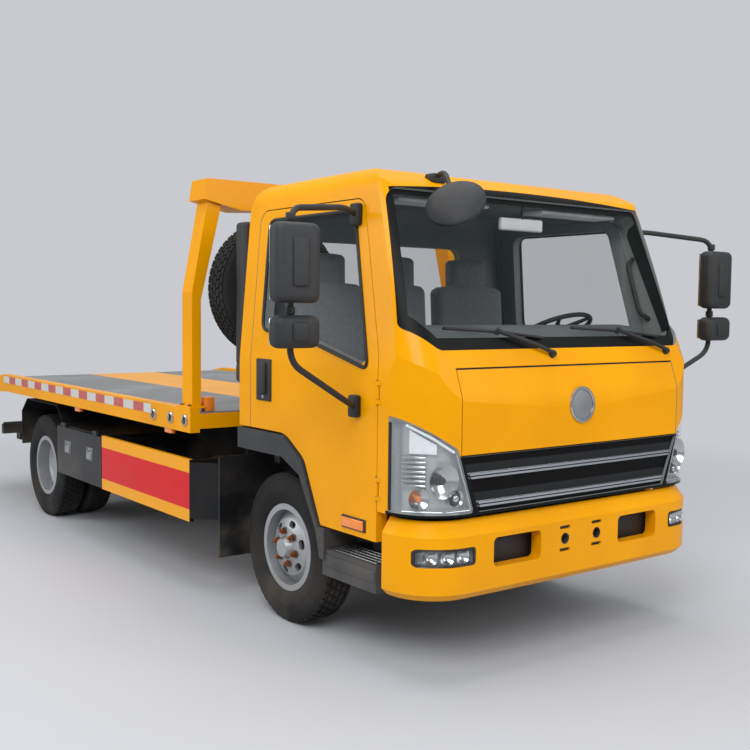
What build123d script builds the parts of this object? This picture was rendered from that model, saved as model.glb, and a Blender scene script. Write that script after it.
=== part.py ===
"""Light flatbed tow truck with a tilting cab and a bed that tilts and slides back.

Millimetres. +X is forward, +Y is the left side, +Z is up. The origin lies on the ground, in the
middle of the truck's length and width. Places along the truck are measured from the front axle.
"""

import os
from functools import cache
from math import hypot

from build123d import *

# Overall layout
OVERALL_LENGTH = 5995
FRONT_OVERHANG = 1200
WHEELBASE = 3300
FRONT_AXLE_X = OVERALL_LENGTH / 2 - FRONT_OVERHANG
SIDES = {"right": -1, "left": 1}
GAP = 5
FIT = 0.3


def ax(x):
    """Give the place of a point that lies x ahead of the front axle."""
    return FRONT_AXLE_X + x


# Wheels
TYRE_R = 383
TYRE_HALF = 97.5
RIM_R = 203
FLANGE_R = 222
FLANGE_HALF = 78
BARREL_R = 192
FRONT_WHEEL_Y = 780
TWIN_PITCH = 225
REAR_WHEEL_Y = 862.5
REAR_AXLE_X = ax(-WHEELBASE)
STUB_R = 31
REAR_STUB_R = 46
LUG_COUNT = 6

# Steering knuckles
KINGPIN_Y = 690
KINGPIN_R = 18
BOSS_HALF = 48

# Chassis
RAIL_Y = 375
RAIL_FLANGE = 65
RAIL_WALL = 7
RAIL_BOTTOM = 560
RAIL_TOP = 740
RAIL_FRONT_X = ax(1080)
RAIL_REAR_X = ax(-4180)
SPRING_Y = (325, 395)
SPRING_SPAN = 1100
SPRING_THICK = 45
SPRING_RISE = 70

# Cab shell
CAB_HALF = 945
CAB_WALL = 60
CAB_REAR = -330
CAB_FRONT = 1181
CAB_CROWN = 12
CAB_CORNER_R = 250
CAB_ROOF_Z = 2240
CAB_FLOOR_Z = 985
DOOR_BOTTOM_Z = 585
NOSE_BOTTOM_Z = 722
DOOR_FRONT = 866
DOOR_REAR = -215
DOOR_TOP_Z = 2090
TUNNEL_HALF = 420
TUNNEL_TOP = 960
TUNNEL_FRONT = 1100
SCREEN_FOOT = (1112, 1400)
SCREEN_HEAD = (790, 2160)

# Front panels, by half width and height
FLAP_HALF = CAB_HALF - 220
FLAP_Z = (985, 1345)
FLAP_THICK = 24
FLAP_TOP_GAP = 3
FLAP_ROOM = 14
FLAP_PIN_R = 5
GRILLE_HALF = FLAP_HALF - 100
GRILLE_Z = (NOSE_BOTTOM_Z + 13, FLAP_Z[0] - 10)

# Cab tilt, about a pin behind the bumper
TILT_X = ax(1100)
TILT_Z = 600
TILT_PIN_R = 15
TILT_ARM_Y = (430, 452)
TILT_EYE_R = 30

# Bumper
BUMPER_HALF = CAB_HALF + 5
BUMPER_Z = (365, 705)
BUMPER_WALL = 60
BUMPER_REAR_X = ax(915)
BUMPER_SHELF = 45
BUMPER_SHELF_DROP = 65

# Bed
BED_HALF = 1025
BED_FRONT_X = ax(-740)
TAIL_X = -OVERALL_LENGTH / 2
TAIL_BREAK_X = TAIL_X + 745
DECK_Z = 1035
BED_RAIL_BOTTOM = 900
BED_RAIL_WALL = 60
BED_BEAM_Y = (300, 390)
BED_BEAM_BOTTOM = 865
TAIL_Z = (850, 905)

# Bed subframe and its pivot at the back of the chassis
SUB_Y = (310, 380)
SUB_FRONT_X = ax(-900)
PIVOT_X = ax(-4250)
PIVOT_Z = 800
PIVOT_BOSS_R = 45
PIVOT_PIN_R = 20

# Lift cylinders: foot on the chassis, eye under the subframe
LIFT_Y = 200
LIFT_FOOT = (ax(-2950), 630)
LIFT_EYE = (ax(-1800), 800)
BARREL_TUBE_R = 42
ROD_R = 24
LIFT_BARREL_LENGTH = 820

# Gantry
POST_Y = (945, 1000)
POST_X = (ax(-885), ax(-765))
POST_TOP_Z = 1640
GANTRY_TOP_Z = 2310
GANTRY_BEAM_Z = GANTRY_TOP_Z - 145


def keep(piece, name):
    """Label a finished piece and write its file."""
    piece.part.label = name
    export_step(piece.part, f"parts/{name}.step")


def block(x, y, z, mode=Mode.ADD):
    """Add a box between three pairs of limits to the part in hand."""
    with Locations(((x[0] + x[1]) / 2, (y[0] + y[1]) / 2, (z[0] + z[1]) / 2)):
        Box(abs(x[1] - x[0]), abs(y[1] - y[0]), abs(z[1] - z[0]), mode=mode)


def prism(plane, points, amount, radius=0, both=False, mode=Mode.ADD):
    """Extrude a closed outline with rounded corners from a plane."""
    with BuildSketch(plane) as outline:
        with BuildLine():
            FilletPolyline(*points, radius=radius, close=True)
        make_face()
    extrude(outline.sketch, amount=amount, both=both, mode=mode)


def side_plate(points, y, radius=0, mode=Mode.ADD):
    """Extrude an outline seen from the side, given in X and Z, between two places across the truck."""
    prism(Plane.XZ.offset(-max(y)), points, max(y) - min(y), radius, mode=mode)


def end_plate(points, x, radius=0, mode=Mode.ADD):
    """Extrude an outline seen from the front, given in Y and Z, between two places along the truck."""
    prism(Plane.YZ.offset(min(x)), points, max(x) - min(x), radius, mode=mode)


def flat_plate(points, z, radius=0, mode=Mode.ADD):
    """Extrude an outline seen from above between two heights."""
    prism(Plane.XY.offset(min(z)), points, max(z) - min(z), radius, mode=mode)


def rod(start, end, radius, mode=Mode.ADD):
    """Add a round bar from one point to another."""
    line = Vector(*end) - Vector(*start)
    with BuildSketch(Plane(origin=start, z_dir=line)) as section:
        Circle(radius)
    extrude(section.sketch, amount=line.length, mode=mode)


def pipe(points, radius, bend):
    """Add a round tube bent along a row of points."""
    with BuildLine() as path:
        FilletPolyline(*points, radius=bend)
    with BuildSketch(Plane(origin=path.line @ 0, z_dir=path.line % 0)) as section:
        Circle(radius)
    sweep(section.sketch, path=path.line)


def both_sides(low, high):
    """Give a pair of limits on the right and on the left."""
    return [(side * low, side * high) for side in SIDES.values()]


def turned(centre, side, points, mode=Mode.ADD):
    """Revolve an outline about a wheel's axis: places are measured outward, then from the axis."""
    plane = Plane(origin=centre, x_dir=(0, side, 0), z_dir=(1, 0, 0))
    with BuildSketch(plane) as section:
        with BuildLine():
            Polyline(*points, close=True)
        make_face()
    revolve(section.sketch, axis=Axis(centre, (0, 1, 0)), mode=mode)


# Chassis frame: channel rails, crossmembers, cab rest, hinge brackets and bed pivot ears
CROSS_MEMBERS = [ax(1000), ax(-1250), ax(-1600), ax(-3720), ax(-4150)]
CAB_REST_X = (ax(-320), ax(-260))
EAR_THICK = 22
UNDERLIFT_PIVOT = (ax(-4150), 470)
UNDERLIFT_PIN_R = 15
UNDERLIFT_HALF = 110
EAR_Y = SUB_Y[1] + 6

with BuildPart() as chassis_frame:
    for side in SIDES.values():
        web = (side * (RAIL_Y - RAIL_WALL), side * RAIL_Y)
        flange = (side * (RAIL_Y - RAIL_FLANGE), side * RAIL_Y)
        rail_x = (RAIL_REAR_X, RAIL_FRONT_X)
        block(rail_x, web, (RAIL_BOTTOM, RAIL_TOP))
        block(rail_x, flange, (RAIL_BOTTOM, RAIL_BOTTOM + RAIL_WALL))
        block(rail_x, flange, (RAIL_TOP - RAIL_WALL, RAIL_TOP))
        # Cab hinge bracket with its pin
        bracket_y = (side * RAIL_Y, side * (TILT_ARM_Y[0] - 4))
        block((TILT_X - 60, TILT_X - 20), bracket_y, (TILT_Z - 30, TILT_Z + 30))
        block(
            (TILT_X - 20, TILT_X + 20),
            (side * (TILT_ARM_Y[0] - 24), bracket_y[1]),
            (TILT_Z - 30, TILT_Z + 30),
        )
        rod((TILT_X, bracket_y[1], TILT_Z), (TILT_X, side * (TILT_ARM_Y[1] + 8), TILT_Z), TILT_PIN_R)
        # Cab rest leg
        block(CAB_REST_X, (side * 320, side * 370), (RAIL_TOP, CAB_FLOOR_Z - 45))
        # Pivot ear for the bed, with its pin
        ear_y = (side * EAR_Y, side * (EAR_Y + EAR_THICK))
        ear = [(RAIL_REAR_X + 160, RAIL_BOTTOM), (RAIL_REAR_X + 160, RAIL_TOP - 10)]
        ear += [(PIVOT_X, PIVOT_Z + 30), (PIVOT_X - 30, PIVOT_Z + 10), (PIVOT_X - 30, RAIL_BOTTOM)]
        side_plate(ear, ear_y)
        block((RAIL_REAR_X, RAIL_REAR_X + 160), (side * RAIL_Y, side * EAR_Y), (RAIL_BOTTOM, RAIL_TOP - 10))
        rod((PIVOT_X, ear_y[0], PIVOT_Z), (PIVOT_X, side * (SUB_Y[0] - 10), PIVOT_Z), PIVOT_PIN_R)
    block(CAB_REST_X, (-370, 370), (CAB_FLOOR_Z - 45, CAB_FLOOR_Z))
    for member_x in CROSS_MEMBERS:
        block((member_x - 30, member_x + 30), (-RAIL_Y + RAIL_WALL, RAIL_Y - RAIL_WALL), (600, 700))
    # Brackets and pin of the underlift, below the last crossmember
    under_x, under_z = UNDERLIFT_PIVOT
    for pair in both_sides(UNDERLIFT_HALF + 4, UNDERLIFT_HALF + 24):
        block((under_x - 30, under_x + 30), pair, (under_z - 30, 620))
    rod((under_x, -UNDERLIFT_HALF - 24, under_z), (under_x, UNDERLIFT_HALF + 24, under_z), UNDERLIFT_PIN_R)
    # Low member that carries the feet of the lift cylinders
    foot_x, foot_z = LIFT_FOOT
    block(
        (foot_x - 110, foot_x - 60),
        (-RAIL_Y + RAIL_WALL, RAIL_Y - RAIL_WALL),
        (foot_z - 45, foot_z + 45),
    )
    for side in SIDES.values():
        for ear in both_sides(34, 50):
            lug = (side * LIFT_Y + ear[0], side * LIFT_Y + ear[1])
            block((foot_x - 60, foot_x + 25), lug, (foot_z - 30, foot_z + 30))
        pin_y = (side * LIFT_Y - 50, side * LIFT_Y + 50)
        rod((foot_x, pin_y[0], foot_z), (foot_x, pin_y[1], foot_z), 14)
keep(chassis_frame, "chassis_frame")

# Engine between the rails, with its gearbox drawn in towards the drive shaft
ENGINE_X = (ax(-540), ax(280))
ENGINE_HALF = 290
ENGINE_Z = (470, 930)
ENGINE_EDGE_R = 30
GEARBOX_X = ax(-1150)
# Ends of the gearbox: place, height of the middle, width, height, corner radius
GEARBOX_ENDS = [(ENGINE_X[0], 630, 420, 280, 90), (GEARBOX_X, 560, 200, 180, 60)]
ENGINE_MOUNT = ((ax(-80), ax(40)), (620, 680))
with BuildPart() as engine_block:
    corners = [(-ENGINE_HALF, ENGINE_Z[0]), (-ENGINE_HALF, ENGINE_Z[1])]
    corners += [(ENGINE_HALF, ENGINE_Z[1]), (ENGINE_HALF, ENGINE_Z[0])]
    end_plate(corners, ENGINE_X, ENGINE_EDGE_R)
    ends = []
    for end_x, middle_z, width, height, edge_r in GEARBOX_ENDS:
        with BuildSketch(Plane.YZ.offset(end_x)) as end:
            with Locations((0, middle_z)):
                RectangleRounded(width, height, edge_r)
        ends.append(end.sketch.face())
    loft(ends, ruled=True)
    for side in SIDES.values():
        block(ENGINE_MOUNT[0], (side * ENGINE_HALF, side * (RAIL_Y - RAIL_WALL)), ENGINE_MOUNT[1])
keep(engine_block, "engine_block")

# Front axle beam with its kingpin bosses
with BuildPart() as front_axle:
    beam = [(-KINGPIN_Y + 25, 350), (-480, 320), (480, 320), (KINGPIN_Y - 25, 350)]
    beam += [(KINGPIN_Y - 25, 410), (520, 390), (-520, 390), (-KINGPIN_Y + 25, 410)]
    end_plate(beam, (ax(-35), ax(35)))
    for side in SIDES.values():
        low, high = TYRE_R - BOSS_HALF, TYRE_R + BOSS_HALF
        rod((ax(0), side * KINGPIN_Y, low), (ax(0), side * KINGPIN_Y, high), 36)
        rod((ax(0), side * KINGPIN_Y, low), (ax(0), side * KINGPIN_Y, high), KINGPIN_R + FIT, Mode.SUBTRACT)
keep(front_axle, "front_axle")

# Rear axle: tube, round differential case and stubs
REAR_TUBE_R = 58
with BuildPart() as rear_axle:
    rod((REAR_AXLE_X, -560, TYRE_R), (REAR_AXLE_X, 560, TYRE_R), REAR_TUBE_R)
    rod((REAR_AXLE_X - 100, 0, TYRE_R), (REAR_AXLE_X + 130, 0, TYRE_R), 165)
    stub_y = REAR_WHEEL_Y - 64
    rod((REAR_AXLE_X, -stub_y, TYRE_R), (REAR_AXLE_X, stub_y, TYRE_R), REAR_STUB_R - FIT)
    chamfer(rear_axle.edges().filter_by(GeomType.CIRCLE).sort_by(SortBy.RADIUS)[-2:], 40)
keep(rear_axle, "rear_axle")

# Leaf springs, which sit on the axles and hang under the rails
SPRING_SEATS = [("front", ax(0), 390), ("rear", REAR_AXLE_X, TYRE_R + REAR_TUBE_R)]
with BuildPart() as leaf_springs:
    for _, seat_x, seat_z in SPRING_SEATS:
        half = SPRING_SPAN / 2
        hanger_x = (seat_x - half, seat_x + half)
        for pair in both_sides(*SPRING_Y):
            with BuildSketch(Plane.XZ.offset(-max(pair))) as leaf:
                with BuildLine():
                    top = seat_z + SPRING_THICK
                    Line((seat_x - half, seat_z + SPRING_RISE), (seat_x - half, top + SPRING_RISE))
                    ThreePointArc(
                        (seat_x - half, top + SPRING_RISE),
                        (seat_x, top),
                        (seat_x + half, top + SPRING_RISE),
                    )
                    Line((seat_x + half, top + SPRING_RISE), (seat_x + half, seat_z + SPRING_RISE))
                    ThreePointArc(
                        (seat_x + half, seat_z + SPRING_RISE), (seat_x, seat_z), (
                            seat_x - half, seat_z + SPRING_RISE
                        )
                    )
                make_face()
            extrude(leaf.sketch, amount=max(pair) - min(pair))
            for end_x in hanger_x:
                block((end_x - 25, end_x + 25), pair, (seat_z + SPRING_RISE, RAIL_BOTTOM))
keep(leaf_springs, "leaf_springs")

with BuildPart() as drive_shaft:
    rod((ax(-1153), 0, 545), (REAR_AXLE_X + 133, 0, TYRE_R + 40), 45)
keep(drive_shaft, "drive_shaft")

# Silencer with its pipes, on the right of the frame behind the engine
SILENCER_X = (-1350, -700)
SILENCER_Y = -520
SILENCER_Z = 560
SILENCER_R = 105
EXHAUST_R = 32
TAIL_PIPE = [(-1340, SILENCER_Y, SILENCER_Z), (-1700, SILENCER_Y, SILENCER_Z), (-1700, -930, 480)]
TAIL_PIPE_BEND = 120
DOWN_PIPE = [(-710, SILENCER_Y, SILENCER_Z), (-640, SILENCER_Y, 540), (-590, -400, 410)]
DOWN_PIPE += [(-500, -240, 410), (-500, -240, ENGINE_Z[0] - FIT)]
DOWN_PIPE_BEND = 32
HANGERS = [-850, -1200]
HANGER_HALF = 15
HANGER_Z = (620, 645)
with BuildPart() as exhaust:
    rod(*[(ax(x), SILENCER_Y, SILENCER_Z) for x in SILENCER_X], SILENCER_R)
    for route, bend in ((TAIL_PIPE, TAIL_PIPE_BEND), (DOWN_PIPE, DOWN_PIPE_BEND)):
        pipe([(ax(x), y, z) for x, y, z in route], EXHAUST_R, bend)
    for hanger_x in HANGERS:
        block((ax(hanger_x) - HANGER_HALF, ax(hanger_x) + HANGER_HALF), (SILENCER_Y, -RAIL_Y), HANGER_Z)
keep(exhaust, "exhaust")

# Fuel tank on the left
TANK_X = (ax(-1830), ax(-1000))
TANK_Y = (430, 880)
TANK_Z = (430, 800)
TANK_EDGE_R = 60
STRAP_WIDTH = 50
STRAP_THICK = 4
STRAP_END = 150
TANK_BRACKET_Z = (600, 700)
CAP_PLACE = (TANK_X[1] - 90, 760)
CAP_R = 42
CAP_HEIGHT = 34
with BuildPart() as fuel_tank:
    corners = [
        (TANK_Y[0], TANK_Z[0]),
        (TANK_Y[0], TANK_Z[1]),
        (TANK_Y[1], TANK_Z[1]),
        (TANK_Y[1], TANK_Z[0]),
    ]
    end_plate(corners, TANK_X, TANK_EDGE_R)
    for strap_x in (TANK_X[0] + STRAP_END, TANK_X[1] - STRAP_END):
        strap = (strap_x - STRAP_WIDTH / 2, strap_x + STRAP_WIDTH / 2)
        with BuildSketch(Plane.YZ.offset(strap[0])) as band:
            with Locations((sum(TANK_Y) / 2, sum(TANK_Z) / 2)):
                band_size = (
                    TANK_Y[1] - TANK_Y[0] + 2 * STRAP_THICK, TANK_Z[1] - TANK_Z[0] + 2 * STRAP_THICK
                )
                RectangleRounded(*band_size, TANK_EDGE_R + STRAP_THICK)
        extrude(band.sketch, amount=STRAP_WIDTH)
        block(strap, (RAIL_Y, TANK_Y[0] + 10), TANK_BRACKET_Z)
    rod((*CAP_PLACE, TANK_Z[1]), (*CAP_PLACE, TANK_Z[1] + CAP_HEIGHT), CAP_R)
keep(fuel_tank, "fuel_tank")


def bumper_plan(inset, z):
    """Sketch the bumper's outline from above at a height, drawn in by an even wall."""
    half = BUMPER_HALF - inset
    front = ax(FRONT_OVERHANG) - inset
    shoulder = front - CAB_CROWN
    with BuildSketch(Plane.XY.offset(z)) as plan:
        with BuildLine():
            Polyline((shoulder, half), (BUMPER_REAR_X, half), (BUMPER_REAR_X, -half), (shoulder, -half))
            ThreePointArc((shoulder, -half), (front, 0), (shoulder, half))
        make_face()
        fillet(plan.vertices().group_by(Axis.X)[-1], CAB_CORNER_R - inset)
    return plan.sketch


# Bumper with its lamp pockets, vents and tow-eye openings
FOG_Y, FOG_Z, FOG_SIZE = BUMPER_HALF - 165, 553, (260, 80)
VENT_Y, VENT_Z, VENT_SIZE = 408, 552, (290, 130)
TOW_Y, TOW_Z, TOW_R = 108, 558, 26
TOW_SLOT, TOW_SLOT_GAP = (70, 16), 52
BUMPER_HEIGHT = BUMPER_Z[1] - BUMPER_Z[0]
BUMPER_FRONT_X = ax(FRONT_OVERHANG)
BUMPER_SHOULDER_Z = BUMPER_Z[1] - BUMPER_SHELF_DROP
BUMPER_LIP = 30
with BuildPart() as bumper:
    lip_z = BUMPER_Z[0] + BUMPER_LIP
    loft([bumper_plan(BUMPER_LIP, BUMPER_Z[0]).face(), bumper_plan(0, lip_z).face()], ruled=True)
    extrude(bumper_plan(0, lip_z), amount=BUMPER_SHOULDER_Z - lip_z)
    loft(
        [bumper_plan(0, BUMPER_SHOULDER_Z).face(), bumper_plan(BUMPER_SHELF, BUMPER_Z[1]).face()],
        ruled=True,
    )
    extrude(bumper_plan(BUMPER_WALL, BUMPER_Z[0]), amount=BUMPER_HEIGHT, mode=Mode.SUBTRACT)
    inside_half = BUMPER_HALF - BUMPER_WALL
    back_x = (BUMPER_REAR_X - 10, BUMPER_REAR_X + BUMPER_WALL + 1)
    block(back_x, (-inside_half, inside_half), BUMPER_Z, Mode.SUBTRACT)
    for side in SIDES.values():
        with BuildSketch(Plane.YZ.offset(BUMPER_REAR_X + BUMPER_WALL)) as holes:
            with Locations((side * FOG_Y, FOG_Z)):
                RectangleRounded(*FOG_SIZE, 20)
            with Locations((side * VENT_Y, VENT_Z)):
                RectangleRounded(*VENT_SIZE, 25)
            with Locations((side * TOW_Y, TOW_Z)):
                Circle(TOW_R)
            with Locations((side * TOW_Y, TOW_Z + TOW_SLOT_GAP), (side * TOW_Y, TOW_Z - TOW_SLOT_GAP)):
                SlotOverall(*TOW_SLOT)
        extrude(holes.sketch, amount=FRONT_OVERHANG, mode=Mode.SUBTRACT)
        # Stay from the rail to the back of the bumper
        stay_y = (side * (RAIL_Y - RAIL_FLANGE), side * (RAIL_Y - RAIL_WALL))
        block((RAIL_FRONT_X, BUMPER_FRONT_X - BUMPER_WALL + 5), stay_y, (RAIL_BOTTOM + 70, RAIL_TOP - 55))
keep(bumper, "bumper")

with BuildPart() as fog_lamps:
    extrude(bumper_plan(6, BUMPER_Z[0]), amount=BUMPER_HEIGHT)
    extrude(bumper_plan(BUMPER_WALL, BUMPER_Z[0]), amount=BUMPER_HEIGHT, mode=Mode.SUBTRACT)
    with BuildSketch(Plane.YZ.offset(BUMPER_REAR_X + BUMPER_WALL)) as lenses:
        for side in SIDES.values():
            with Locations((side * FOG_Y, FOG_Z)):
                RectangleRounded(FOG_SIZE[0] - FIT, FOG_SIZE[1] - FIT, 20 - FIT)
    extrude(lenses.sketch, amount=FRONT_OVERHANG, mode=Mode.INTERSECT)
keep(fog_lamps, "fog_lamps")


# Cab shell

SIDE_POINTS = [
    (CAB_FRONT, NOSE_BOTTOM_Z),
    (CAB_FRONT, 1200),
    SCREEN_FOOT,
    SCREEN_HEAD,
    (640, CAB_ROOF_Z),
    (CAB_REAR + 60, CAB_ROOF_Z - 20),
    (CAB_REAR, CAB_ROOF_Z - 130),
    (CAB_REAR, CAB_FLOOR_Z),
    (120, CAB_FLOOR_Z),
    (290, 880),
    (435, DOOR_BOTTOM_Z),
    (DOOR_FRONT, DOOR_BOTTOM_Z),
    (DOOR_FRONT, NOSE_BOTTOM_Z),
]
SIDE_RADII = [0, 300, 60, 120, 200, 90, 100, 0, 200, 120, 0, 0, 0]
BELT_Z = 1330
HEAD_HALF = CAB_HALF - 77
ROOF_CORNER_R = 120
SCREEN_CORNER_R = 170
SCREEN_LIP = 3


@cache
def front_prism(inset):
    """Give the cab's front outline, drawn in by a wall, run along the whole cab."""
    with BuildPart() as run:
        with BuildSketch(Plane.YZ.offset(ax(CAB_REAR) - 50)) as outline:
            with BuildLine():
                points = [(-CAB_HALF, 400), (-CAB_HALF, BELT_Z), (-HEAD_HALF, CAB_ROOF_Z)]
                points += [(HEAD_HALF, CAB_ROOF_Z), (CAB_HALF, BELT_Z), (CAB_HALF, 400)]
                radii = [0, 400, ROOF_CORNER_R, ROOF_CORNER_R, 400, 0]
                FilletPolyline(*points, radius=radii, close=True)
            make_face()
            offset(amount=-inset, kind=Kind.INTERSECTION, mode=Mode.REPLACE)
        extrude(outline.sketch, amount=CAB_FRONT - CAB_REAR + 100)
    return run.part


def cab_plan(inset):
    """Sketch the cab's outline from above, drawn in by a wall."""
    with BuildSketch(Plane.XY.offset(400)) as plan:
        with BuildLine():
            shoulder = ax(CAB_FRONT - CAB_CROWN)
            back = ax(CAB_REAR) - 200
            Polyline((shoulder, CAB_HALF), (back, CAB_HALF), (back, -CAB_HALF), (shoulder, -CAB_HALF))
            ThreePointArc((shoulder, -CAB_HALF), (ax(CAB_FRONT), 0), (shoulder, CAB_HALF))
        make_face()
        fillet(plan.vertices().group_by(Axis.X)[-1], CAB_CORNER_R)
        offset(amount=-inset, kind=Kind.INTERSECTION, mode=Mode.REPLACE)
    return plan.sketch


@cache
def cab_volume(inset):
    """Give the cab's whole form, drawn in by a wall."""
    with BuildPart() as volume:
        with BuildSketch(Plane.XZ) as profile:
            with BuildLine():
                points = [(ax(x), z) for x, z in SIDE_POINTS]
                FilletPolyline(*points, radius=SIDE_RADII, close=True)
            make_face()
            offset(amount=-inset, kind=Kind.INTERSECTION, mode=Mode.REPLACE)
        extrude(profile.sketch, amount=CAB_HALF + 20, both=True)
        add(front_prism(inset), mode=Mode.INTERSECT)
        extrude(cab_plan(inset), amount=2000, mode=Mode.INTERSECT)
        # Rounded corners of the windscreen, along its slope
        slope = Vector(SCREEN_HEAD[0] - SCREEN_FOOT[0], 0, SCREEN_HEAD[1] - SCREEN_FOOT[1]).normalized()
        foot = Vector(ax(SCREEN_FOOT[0]), 0, SCREEN_FOOT[1]) - slope * 1500
        with BuildSketch(Plane(origin=foot, x_dir=(0, 1, 0), z_dir=slope)) as corners:
            with Locations((0, 1500 + inset - SCREEN_LIP)):
                RectangleRounded(2 * (CAB_HALF - inset), 3000, SCREEN_CORNER_R - inset)
        extrude(corners.sketch, amount=4000, mode=Mode.INTERSECT)
        half = TUNNEL_HALF + inset
        block((ax(-900), ax(TUNNEL_FRONT) + inset), (-half, half), (300, TUNNEL_TOP + inset), Mode.SUBTRACT)
    return volume.part


DOOR_OUTLINE = [
    (DOOR_FRONT, 500),
    (DOOR_FRONT, 1390),
    (672, DOOR_TOP_Z),
    (DOOR_REAR, DOOR_TOP_Z),
    (DOOR_REAR, 500),
]
DOOR_RADII = [0, 300, 70, 70, 0]
DOOR_WINDOW = [(795, 1335), (610, 2040), (-120, 2040), (-120, 1490), (300, 1450)]
DOOR_WINDOW_RADII = [50, 60, 60, 50, 200]
SCREEN_SIDES = [(CAB_HALF - 145, 30), (CAB_HALF - 22, 165), (CAB_HALF - 88, 800)]
SCREEN_OPENING = [(-y, up) for y, up in SCREEN_SIDES] + [(y, up) for y, up in reversed(SCREEN_SIDES)]
SCREEN_RADII = [60, 60, 70, 70, 60, 60]
SCREEN_WRAP = 130
REAR_WINDOW = [(-560, 1480), (-540, 1960), (540, 1960), (560, 1480)]
HINGE_HEIGHTS = [820, 1240]
HINGE_LENGTH = 60
HINGE_R = 9
HINGE_PIN_R = 5
HINGE_RELIEF = 14
GLASS = (16, 22)


def door_prism(outline, grow):
    """Give a door's or a window's outline run across the whole cab."""
    with BuildPart() as run:
        with BuildSketch(Plane.XZ) as shape:
            with BuildLine():
                radii = DOOR_RADII if outline is DOOR_OUTLINE else DOOR_WINDOW_RADII
                FilletPolyline(*[(ax(x), z) for x, z in outline], radius=radii, close=True)
            make_face()
            if grow:
                offset(amount=grow, kind=Kind.INTERSECTION, mode=Mode.REPLACE)
        extrude(shape.sketch, amount=CAB_HALF + 60, both=True)
    return run.part


def front_opening(outline, grow, x, radius):
    """Give an outline on the cab's front or back run between two places along the truck."""
    with BuildPart() as run:
        with BuildSketch(Plane.YZ.offset(ax(x[0]))) as shape:
            with BuildLine():
                FilletPolyline(*outline, radius=radius, close=True)
            make_face()
            if grow:
                offset(amount=grow, kind=Kind.INTERSECTION, mode=Mode.REPLACE)
        extrude(shape.sketch, amount=x[1] - x[0])
    return run.part


SCREEN_LENGTH = hypot(SCREEN_HEAD[0] - SCREEN_FOOT[0], SCREEN_HEAD[1] - SCREEN_FOOT[1])
SCREEN_UP = (
    (SCREEN_HEAD[0] - SCREEN_FOOT[0]) / SCREEN_LENGTH,
    (SCREEN_HEAD[1] - SCREEN_FOOT[1]) / SCREEN_LENGTH,
)


def screen_prism(grow):
    """Give the windscreen's outline, drawn on its slope, run a little way into the cab."""
    foot = Plane(
        origin=(ax(SCREEN_FOOT[0]), 0, SCREEN_FOOT[1]), x_dir=(0, 1, 0), z_dir=(
            SCREEN_UP[1], 0, -SCREEN_UP[0]
        )
    )
    with BuildPart() as run:
        with BuildSketch(foot.offset(-SCREEN_WRAP)) as shape:
            with BuildLine():
                FilletPolyline(*SCREEN_OPENING, radius=SCREEN_RADII, close=True)
            make_face()
            if grow:
                offset(amount=grow, kind=Kind.INTERSECTION, mode=Mode.REPLACE)
        extrude(shape.sketch, amount=2 * SCREEN_WRAP)
    return run.part


FLAP_OUTLINE = [
    (-FLAP_HALF, FLAP_Z[0]),
    (-FLAP_HALF, FLAP_Z[1]),
    (FLAP_HALF, FLAP_Z[1]),
    (FLAP_HALF, FLAP_Z[0]),
]
GRILLE_OUTLINE = [
    (-GRILLE_HALF, GRILLE_Z[0]),
    (-FLAP_HALF, GRILLE_Z[1]),
    (FLAP_HALF, GRILLE_Z[1]),
    (GRILLE_HALF, GRILLE_Z[0]),
]
LAMP_EDGE = CAB_HALF + 30
LAMP_OUTLINE = [
    (FLAP_HALF - 70, GRILLE_Z[0]),
    (FLAP_HALF + 20, 1010),
    (LAMP_EDGE, 1165),
    (LAMP_EDGE, GRILLE_Z[0]),
]
LAMP_RADII = [15, 40, 0, 0]
LAMP_THICK = 46
NOSE_X = (700, 1300)
LAMP_X = (945, 1300)

cab_outer = cab_volume(0)
cab_inner = cab_volume(CAB_WALL)
doorway_core = front_prism(CAB_WALL + GAP)
roof_split_z = DOOR_TOP_Z + GAP

with BuildPart() as doorways:
    add(door_prism(DOOR_OUTLINE, GAP))
    add(doorway_core, mode=Mode.SUBTRACT)

with BuildPart() as cab_shell:
    add(cab_outer)
    add(cab_inner, mode=Mode.SUBTRACT)
    add(doorways.part, mode=Mode.SUBTRACT)
    add(screen_prism(0), mode=Mode.SUBTRACT)
    add(front_opening(REAR_WINDOW, 0, (-500, -100), 60), mode=Mode.SUBTRACT)

FLOOR_HALF = CAB_HALF - CAB_WALL - GAP
FLOOR_BOX = ((ax(CAB_REAR) + CAB_WALL, ax(1000)), (-FLOOR_HALF, FLOOR_HALF), (300, 1080))

with BuildPart() as cab_roof:
    add(cab_shell.part)
    block((ax(-900), ax(1400)), (-1200, 1200), (roof_split_z, 2400), Mode.INTERSECT)
keep(cab_roof, "cab_roof")

with BuildPart() as cab_floor:
    add(cab_shell.part)
    block(*FLOOR_BOX, Mode.INTERSECT)
    # Arms that reach down to the tilt pins
    for pair in both_sides(*TILT_ARM_Y):
        arm = [(ax(840), NOSE_BOTTOM_Z + 40), (ax(930), NOSE_BOTTOM_Z + 40)]
        arm += [(TILT_X + 20, TILT_Z + 20), (TILT_X - 20, TILT_Z - 20)]
        side_plate(arm, pair)
        rod((TILT_X, pair[0], TILT_Z), (TILT_X, pair[1], TILT_Z), TILT_EYE_R)
        rod((TILT_X, pair[0], TILT_Z), (TILT_X, pair[1], TILT_Z), TILT_PIN_R + FIT, Mode.SUBTRACT)
keep(cab_floor, "cab_floor")

with BuildPart() as cab_back:
    add(cab_shell.part)
    block((ax(-900), ax(0)), (-1200, 1200), (300, roof_split_z), Mode.INTERSECT)
    block(*FLOOR_BOX, Mode.SUBTRACT)
keep(cab_back, "cab_back")


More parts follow.
